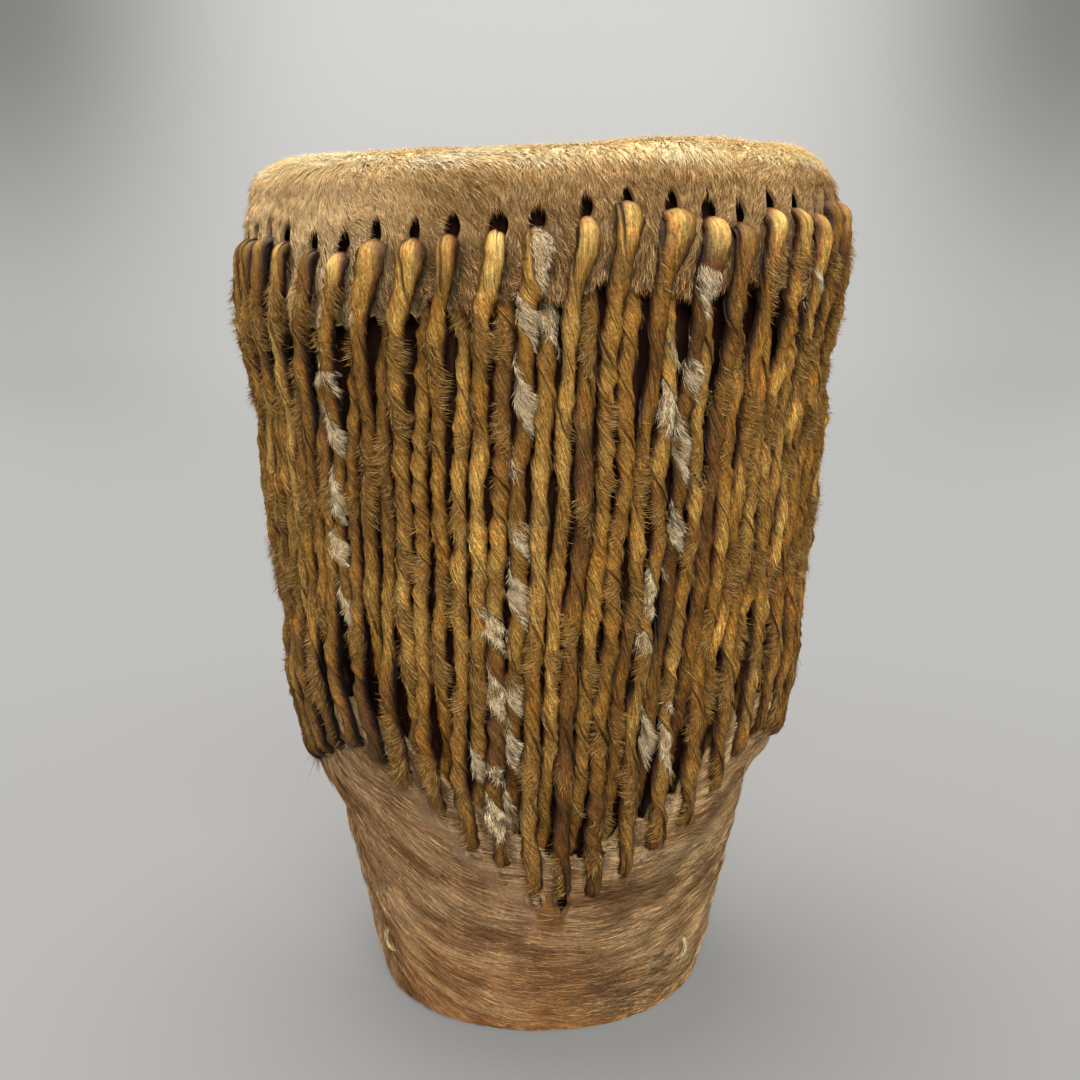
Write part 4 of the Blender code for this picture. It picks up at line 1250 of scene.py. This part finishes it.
def bare_share(roots):
    """1 on the bare patch of the base hide, under the lowest slits."""
    bearing = np.degrees(np.arctan2(roots[..., 0], -roots[..., 1]))
    edge = 0.45 * noise(roots, 0.009, 91) + 0.60 * noise(roots, 0.0030, 98)
    low = ((bearing - 6.0) / 8.0) ** 2 + ((roots[..., 2] - 0.0378) / 0.0058) ** 2
    tab = ((bearing - 2.0) / 4.2) ** 2 + ((roots[..., 2] - 0.0470) / 0.0090) ** 2
    worn_low = 0.88 * smooth((1.15 - low + 1.3 * edge) * 1.1)
    return np.maximum(worn_low, smooth((1.25 - tab + 0.5 * edge) * 1.8))


def stitch_share(points):
    """1 in the dark slit that each stitch near the foot goes through."""
    bearing = np.arctan2(points[..., 0], -points[..., 1])
    share = np.zeros(points.shape[:-1])
    for middle in STITCH_BEARINGS.values():
        across = turned_away(bearing, middle) * FOOT_RADIUS / 0.0016
        reach = (points[..., 2] - STITCH_HEIGHT) / 0.0052
        share = np.maximum(share, smooth((1.3 - np.hypot(across, reach)) * 3.0))
    return share


def base_flow(bearing):
    """How steeply the hair of the base runs, up or down, as it goes round the foot."""
    knots = [-180, -110, -62, -38, -15, 5, 30, 62, 110, 180]
    return np.radians(np.interp(np.degrees(bearing), knots, [0, -20, -38, -24, -8, 2, 8, 24, 20, 0]))


def flow_place(points, stretch):
    """A place for streaks that run with the hair: equal along the flow, apart from the stretch."""
    bearing = np.arctan2(points[..., 0], -points[..., 1])
    turns = np.linspace(-np.pi, np.pi, 721)
    climb = np.cumsum(np.tan(base_flow(turns))) * (turns[1] - turns[0]) * FLOW_RADIUS
    climb = climb - climb[-1] * (turns + np.pi) / (2.0 * np.pi)
    line = points[..., 2] - np.interp(bearing, turns, climb)
    reach = FLOW_RADIUS * stretch
    return np.stack((reach * np.sin(bearing), reach * np.cos(bearing), line), axis=-1)


def base_streaks(points):
    """How pale or dark the base hair is: long streaks along the way the hair lies."""
    mix = 0.14 + 0.32 * noise(flow_place(points, 0.60), 0.015, 95)
    mix = mix + 0.26 * noise(flow_place(points, 0.16), 0.0060, 96)
    return mix + 0.24 * noise(flow_place(points, 0.08), 0.0018, 97)


def base_colours(points, mix):
    """Beige and brown, greyer towards the right, a little paler low at the front."""
    mix = mix[..., None]
    colours = BASE_HAIR_MIDDLE + np.clip(mix, 0.0, 1.0) * (BASE_HAIR_PALE - BASE_HAIR_MIDDLE)
    colours = colours + np.clip(-mix, 0.0, 1.0) * (BASE_HAIR_DARK - BASE_HAIR_MIDDLE)
    degrees = np.degrees(np.arctan2(points[..., 0], -points[..., 1]))
    right = smooth((degrees - 12.0) / 26.0) * smooth((110.0 - degrees) / 30.0)
    low = smooth((0.045 - points[..., 2]) / 0.030)
    front = low * smooth((42.0 - np.abs(degrees + 26.0)) / 24.0)
    centre = low * smooth((17.0 - np.abs(degrees - 5.0)) / 12.0)
    foot = smooth((0.008 - points[..., 2]) / 0.006)
    for share, tint in ((right, RIGHT_TINT), (front, FRONT_TINT), (centre, CENTRE_TINT), (foot, FOOT_TINT)):
        colours = colours * (1.0 + share[..., None] * (tint - 1.0))
    return colours


def build_base_fur(left, right, face_rows, surface):
    side_rows = (face_rows - 5, left.shape[0])
    roots, around, along, row, column, random = hide_roots(left, right, *side_rows, 2.9, 92)
    up = along
    keep = strand_distance(roots, base_slit, -1.0, 1.0) > 0.6 * STRAND_COVER
    keep &= bare_share(roots) < random.uniform(0.05, 0.95, len(roots))
    keep &= stitch_share(roots) < 0.5
    roots, around, up = roots[keep], around[keep], up[keep]
    normals = unit(np.cross(around, up))
    bearing = np.arctan2(roots[:, 0], -roots[:, 1])
    lean = 0.13 * noise(roots, 0.034, 93) + 0.10 * noise(roots, 0.009, 94) + random.normal(0.0, 0.08, len(roots))
    angle = base_flow(bearing) + lean
    level = np.stack((np.cos(bearing), np.sin(bearing), np.zeros(len(roots))), axis=1)
    upright = unit(np.cross(normals, level))
    directions = level * np.cos(angle)[:, None] + upright * np.sin(angle)[:, None]
    mix = base_streaks(roots) + random.normal(0.0, 0.42, len(roots))
    edge = smooth((roots[:, 2] - base_slit_height(bearing) + 0.001) / 0.008)
    tuft = edge * smooth(0.6 + noise(roots, 0.008, 99))
    mix = mix + 0.70 * tuft
    colours = base_colours(roots, mix)
    stray = random.uniform(size=(len(roots), 1))
    colours = colours * np.where(stray < 0.14, 1.75, np.where(stray > 0.86, 0.50, 1.0))
    colours = colours + 0.5 * tuft[:, None] * (TUFT_HAIR - colours)
    near_foot = smooth((0.011 - roots[:, 2]) / 0.009)
    lengths = random.uniform(0.0075, 0.0125, len(roots)) * (1.0 - 0.65 * edge) * (1.0 - 0.45 * near_foot)
    tips = roots + directions * lengths[:, None]
    lengths = lengths * (1.0 - random.uniform(0.0, 1.0, len(roots)) * bare_share(tips))
    lengths = lengths * (1.0 - 0.85 * smooth(stitch_share(tips) + stitch_share(0.5 * (roots + tips))))
    widths = random.uniform(0.00015, 0.00028, len(roots))
    lifts = np.abs(random.normal(0.085, 0.035, len(roots)) + 0.02 * noise(flow_place(roots, 0.10), 0.0030, 100))
    lifts = lifts + 0.08 * edge
    split_hair("base_hair", roots, normals, directions, lengths, widths, lifts, BASE_SHADES, colours, surface,
               "base_hide", 6)


def base_slit_height(bearing):
    """Height of the ring of base slits at any bearing."""
    height = BASE_SLIT_HEIGHT - BASE_FRONT_DIP * dip(bearing, BASE_FRONT_BEARING, BASE_FRONT_HALF_WIDTH)
    for quarter in (1, 2, 3):
        side_bearing = BASE_FRONT_BEARING + quarter * math.pi / 2
        height = height - BASE_SIDE_DIP * dip(bearing, side_bearing, BASE_SIDE_HALF_WIDTH)
    return height


def build_head(skin, hair):
    left, right, face_rows, _ = head_grid()
    tone = HEAD_HAIR_MIDDLE * 0.62 * (1.0 + 0.22 * noise(left, 0.02, 36)[..., None])
    # Painted shade on the skin of the fringe, below the slits.
    depth = smooth((0.2315 - left[..., 2]) / 0.010)[..., None]
    tone = tone * (1.0 - 0.68 * depth)
    # Painted rim light on the skin under the rim's hair.
    rim = smooth((left[..., 2] - 0.2455) / 0.0030) * smooth((np.hypot(left[..., 0], left[..., 1]) - 0.050) / 0.02)
    tone = tone + 0.95 * rim[..., None] * (0.90 * rim_light_colour(left) - tone)
    tone[-1] = HIDE_EDGE * (1.0 + 0.25 * noise(left[-1], 0.006, 38)[:, None])
    centre = (0.0, 0.0, HEIGHT)
    made = hide_mesh("head_skin", left, right, centre, True, tone, skin)
    finish_piece(made, "head_hide", "head_hide")
    build_head_fur(left, right, face_rows, hair)
    build_face_fur(left, right, face_rows, hair)


def build_base(skin, hair):
    left, right, face_rows, _ = base_grid()
    tone = 0.80 * base_colours(left, base_streaks(left))
    # Painted shade on the hide above the slits, between the thongs.
    around = np.arctan2(left[..., 0], -left[..., 1])
    between = smooth((left[..., 2] - base_slit_height(around) - 0.001) / 0.006)
    tone = tone * (1.0 - 0.55 * between)[..., None]
    bare = bare_share(left)[..., None]
    worn = BARE_SKIN * (1.0 + 0.28 * noise(left, 0.005, 58) + 0.10 * noise(left, 0.0020, 59))[..., None]
    tone = tone + bare * (worn - tone)
    # Painted shade: the slit each stitch passes through is painted dark, as the hide has no opening there.
    tone = tone * (1.0 - 0.75 * stitch_share(left)[..., None])
    tone[-1] = HIDE_EDGE * (1.0 + 0.25 * noise(left[-1], 0.006, 57)[:, None])
    made = hide_mesh("base_skin", left, right, (0.0, 0.0, 0.0), False, tone, skin)
    finish_piece(made, "base_hide", "bottom_hide")
    build_base_fur(left, right, face_rows, hair)


# Shell

def shell_profile():
    """Closed outline of the wall: up the outside, over the rim, down the bore and in under the foot."""
    outline = []
    for step in range(7):
        angle = 0.5 * math.pi * (step / 6 - 1.0)
        reach = FOOT_RADIUS - FOOT_ROUNDING + FOOT_ROUNDING * math.cos(angle)
        outline.append((reach, SIDE_BOTTOM + FOOT_ROUNDING * math.sin(angle)))
    for height in np.linspace(SIDE_BOTTOM, SIDE_TOP, 72)[1:]:
        outline.append((float(shell_radius(height)), float(height)))
    for step in range(1, 9):
        angle = 0.5 * math.pi * step / 8
        reach = RIM_RADIUS - RIM_REACH + RIM_REACH * math.cos(angle)
        if reach < RIM_RADIUS - SHELL_WALL:
            break
        outline.append((reach, SIDE_TOP + RIM_DROP * math.sin(angle)))
    for height in np.linspace(SIDE_TOP + 0.9 * RIM_DROP, SHELL_BOTTOM + FOOT_FLOOR, 40):
        outline.append((float(shell_radius(height)) - SHELL_WALL, float(height)))
    outline.append((FOOT_OPENING_RADIUS, SHELL_BOTTOM + FOOT_FLOOR))
    outline.append((FOOT_OPENING_RADIUS, SHELL_BOTTOM))
    return np.array(outline)


def build_shell(surface, segments=240):
    """The carved body: turned about the axis, then cut back here and there as by an adze."""
    bearing = 2.0 * np.pi * np.arange(segments) / segments
    outline = shell_profile()
    rows = np.stack([at_bearing(bearing, radius, height) for radius, height in outline])
    rows[..., 2] += rim_rise(bearing)[None] * rim_part(rows[..., 2])
    cut = 0.00045 * np.abs(noise(rows, 0.016, 21)) + 0.00012 * np.abs(noise(rows, 0.004, 22))
    rows[..., :2] *= (1.0 - cut / np.hypot(rows[..., 0], rows[..., 1]))[..., None]
    count = len(outline)
    index = np.arange(count * segments).reshape(count, segments)
    above = np.roll(index, -1, axis=0)
    quads = np.stack((index, np.roll(index, -1, axis=1), np.roll(above, -1, axis=1), above), axis=-1)
    made = mesh_object("shell_body", rows.reshape(-1, 3), [quads.reshape(-1, 4)], surface)
    made.data.set_sharp_from_angle(angle=math.radians(50.0))
    row, column = np.divmod(np.arange(count * segments), segments)
    corners = np.array(((0, 0), (1, 0), (1, 1), (0, 1)))
    across = (column[:, None] + corners[None, :, 0]) / segments
    up = (row[:, None] + corners[None, :, 1]) / count
    set_atlas(made, np.stack((across, up), axis=-1).reshape(-1, 2))
    finish_piece(made, "carved_wood", "shell")


# Stitches near the foot

def build_stitch(name, bearing, surface):
    """A short rolled strip that goes in and out of the base hide."""
    random = np.random.default_rng(int(1000 + 100 * bearing))
    angle = np.pi * np.arange(25) / 24
    height = STITCH_HEIGHT + STITCH_SPAN / 2 * np.cos(angle)
    offset = FIT + (HIDE_THICKNESS + STITCH_STANDOFF) * np.sin(angle) ** 0.6
    centres = at_bearing(bearing + 0.0 * angle, shell_radius(height) + offset, height)
    along = unit(np.gradient(centres, axis=0))
    across = np.tile(np.array((math.cos(bearing), math.sin(bearing), 0.0)), (25, 1))
    outward = np.cross(along, across)
    round_it = 2.0 * np.pi * np.arange(12) / 12
    wide = 0.0010 * (1.0 + 0.12 * wander(angle, 1.2, random))[:, None] * np.cos(round_it)[None]
    thick = 0.0007 * np.sin(round_it)[None] * np.ones((25, 1))
    grid = centres[:, None] + across[:, None] * wide[..., None] + outward[:, None] * thick[..., None]
    index = np.arange(25 * 12).reshape(25, 12)
    after = np.roll(index, -1, axis=1)
    quads = np.stack((index[:-1], after[:-1], after[1:], index[1:]), axis=-1).reshape(-1, 4)
    caps = [fan(index[0][::-1], 300), fan(index[-1], 301)]
    vertices = np.concatenate((grid.reshape(-1, 3), centres[[0, -1]]))
    made = mesh_object(name + "_strip", vertices, [quads, *caps], surface)
    shade = 1.0 + 0.2 * noise(vertices, 0.004, 61)[:, None]
    set_tone(made, STITCH * shade)
    lay = np.zeros((len(vertices), 3))
    lay[:, 0] = np.concatenate((np.tile(round_it * 0.001, 25), (0.0, 0.0)))
    lay[:, 1] = vertices[:, 2]
    set_lay(made, lay)
    finish_piece(made, "rawhide_thong", name)


# Surroundings: a pale floor, and a pale grey wall all round that only shows behind the drum

def backdrop_grey(tree):
    """Painted light and shade of the surroundings at a point: grey, brighter with height behind the
    drum, and darker at the sides of each of the eight panels that the wall is divided into."""
    place = add_node(tree, "ShaderNodeTexCoord").outputs["Object"]
    split = tree.nodes.new("ShaderNodeSeparateXYZ")
    tree.links.new(place, split.inputs["Vector"])
    bearing = math_node(tree, "ARCTAN2", split.outputs["X"], split.outputs["Y"])
    wave = math_node(tree, "SINE", math_node(tree, "MULTIPLY", bearing, WALL_PANELS / 2), 0.0)
    side = math_node(tree, "POWER", math_node(tree, "MULTIPLY", wave, wave), 3.0)
    panel = math_node(tree, "MULTIPLY_ADD", side, -2.0)
    panel.node.inputs[2].default_value = 1.0
    rise = add_node(tree, "ShaderNodeMapRange", {"interpolation_type": "SMOOTHSTEP"})
    tree.links.new(split.outputs["Z"], rise.inputs["Value"])
    rise.inputs["From Max"].default_value = PANEL_HEIGHT
    level = math_node(tree, "MULTIPLY_ADD", rise.outputs["Result"], -0.080)
    level.node.inputs[2].default_value = 0.530
    swing = math_node(tree, "MULTIPLY_ADD", rise.outputs["Result"], 0.165)
    swing.node.inputs[2].default_value = 0.060
    across = add_node(tree, "ShaderNodeVectorMath", {"operation": "LENGTH"})
    tree.links.new(scaled(tree, place, (1.0, 1.0, 0.0)), across.inputs[0])
    away = add_node(tree, "ShaderNodeMapRange", {"interpolation_type": "SMOOTHSTEP"})
    tree.links.new(across.outputs["Value"], away.inputs["Value"])
    away.inputs["From Min"].default_value = EVEN_FLOOR
    away.inputs["From Max"].default_value = PATTERN_FLOOR
    swing = math_node(tree, "MULTIPLY", swing, away.outputs["Result"])
    value = math_node(tree, "ADD", level, math_node(tree, "MULTIPLY", panel, swing))
    tint = add_node(tree, "ShaderNodeVectorMath", {"operation": "SCALE"})
    tint.inputs[0].default_value = BACKDROP_TINT
    tree.links.new(value, tint.inputs["Scale"])
    return tint.outputs["Vector"]


def seen_factor(tree):
    """1 for what the camera sees directly or in a reflection."""
    light = tree.nodes.new("ShaderNodeLightPath")
    total = math_node(tree, "ADD", light.outputs["Is Camera Ray"], light.outputs["Is Glossy Ray"])
    return math_node(tree, "MINIMUM", total, 1.0)


def wall_material():
    # The wall glows with the painted light and shade of backdrop_grey; no lamp lights it.
    made, tree, shader = new_material("pale_wall")
    glow = add_node(tree, "ShaderNodeEmission", Strength=1.0)
    tree.links.new(backdrop_grey(tree), glow.inputs["Color"])
    tree.links.new(glow.outputs["Emission"], tree.nodes["Material Output"].inputs["Surface"])
    tree.nodes.remove(shader)
    return made


def floor_material():
    """Pale grey near the drum, where its shadow falls, with a share of painted glow over it, easing into the painted
    light and shade of the wall.
    """
    made, tree, shader = new_material("pale_floor")
    shader.inputs["Base Color"].default_value = FLOOR_COLOUR
    shader.inputs["Roughness"].default_value = 0.9
    shader.inputs["Specular IOR Level"].default_value = 0.1
    glow = add_node(tree, "ShaderNodeEmission", Strength=1.0)
    tree.links.new(backdrop_grey(tree), glow.inputs["Color"])
    place = add_node(tree, "ShaderNodeTexCoord").outputs["Object"]
    length = add_node(tree, "ShaderNodeVectorMath", {"operation": "LENGTH"})
    tree.links.new(place, length.inputs[0])
    far = add_node(tree, "ShaderNodeMapRange", {"interpolation_type": "SMOOTHSTEP"})
    tree.links.new(length.outputs["Value"], far.inputs["Value"])
    far.inputs["From Min"].default_value = SHADOW_NEAR
    far.inputs["From Max"].default_value = SHADOW_FAR
    far.inputs["To Min"].default_value = SHADOW_LIGHTNESS
    share = math_node(tree, "MULTIPLY", far.outputs["Result"], seen_factor(tree))
    blend = add_node(tree, "ShaderNodeMixShader")
    tree.links.new(share, blend.inputs["Fac"])
    tree.links.new(shader.outputs["BSDF"], blend.inputs[1])
    tree.links.new(glow.outputs["Emission"], blend.inputs[2])
    tree.links.new(blend.outputs["Shader"], tree.nodes["Material Output"].inputs["Surface"])
    return made


def ring_surface(name, profile, surface, segments=96):
    """A surface turned round the axis, from (radius, height) pairs."""
    bearing = 2.0 * np.pi * np.arange(segments) / segments
    rows = np.stack([at_bearing(bearing, radius, height) for radius, height in profile])
    index = np.arange(rows.shape[0] * segments).reshape(rows.shape[0], segments)
    after = np.roll(index, -1, axis=1)
    quads = np.stack((index[:-1], index[1:], after[1:], after[:-1]), axis=-1).reshape(-1, 4)
    made = mesh_object(name, rows.reshape(-1, 3), [quads], surface)
    return made


def build_surroundings():
    ring_surface("floor", [(0.0005, 0.0), (0.3, 0.0), (1.0, 0.0), (3.2, 0.0)], floor_material())
    wall = ring_surface("wall", [(3.0, -0.3), (3.0, 0.6), (3.0, 1.5), (3.0, 3.5)], wall_material())
    wall.visible_diffuse = False
    wall.visible_shadow = False
    wall.visible_glossy = False


def add_area_light(name, place, target, size, power, colour):
    data = bpy.data.lights.new(name, "AREA")
    data.shape = "DISK"
    data.size = size
    data.energy = power
    data.color = colour
    made = bpy.data.objects.new(name, data)
    made.location = place
    made.rotation_euler = (Vector(target) - Vector(place)).to_track_quat("-Z", "Y").to_euler()
    bpy.context.scene.collection.objects.link(made)


def build_lights():
    middle = (0.0, 0.0, 0.14)
    add_area_light("overhead", (-0.12, 0.18, 1.38), middle, 1.1, 37.0, (1.0, 0.96, 0.90))
    add_area_light("front", (0.18, -1.50, 0.95), middle, 1.0, 34.5, (1.0, 0.98, 0.95))
    world = bpy.context.scene.world or bpy.data.worlds.new("world")
    bpy.context.scene.world = world
    world.use_nodes = True
    background = world.node_tree.nodes["Background"]
    background.inputs["Color"].default_value = (1.0, 0.985, 0.96, 1.0)
    background.inputs["Strength"].default_value = 0.20


def build_camera():
    """The photograph's view: level with the head, close, tipped down a little."""
    data = bpy.data.cameras.new("camera")
    data.sensor_width = 36.0
    data.lens = 48.93
    data.shift_x = -0.0009
    made = bpy.data.objects.new("camera", data)
    made.location = (0.0, -0.440, 0.227)
    made.rotation_euler = (math.radians(78.5), 0.0, 0.0)
    bpy.context.scene.collection.objects.link(made)
    bpy.context.scene.camera = made


build_camera()
build_lights()
build_surroundings()

build_shell(wood_material())

rawhide = rawhide_material()
thong_hair = hair_material("thong_hair", 0.60, 0.06)
for thong_number in range(SLITS // SLITS_PER_THONG):
    build_thong(thong_number, rawhide, thong_hair)
for stitch_name, stitch_bearing in STITCH_BEARINGS.items():
    build_stitch(stitch_name, stitch_bearing, rawhide)

build_head(skin_material("head_skin", 0.9), hair_material("head_hair", 0.58, 0.12))
build_base(skin_material("base_skin", 0.4), hair_material("base_hair", 0.55, 0.08))

bpy.context.scene.view_settings.view_transform = "Standard"
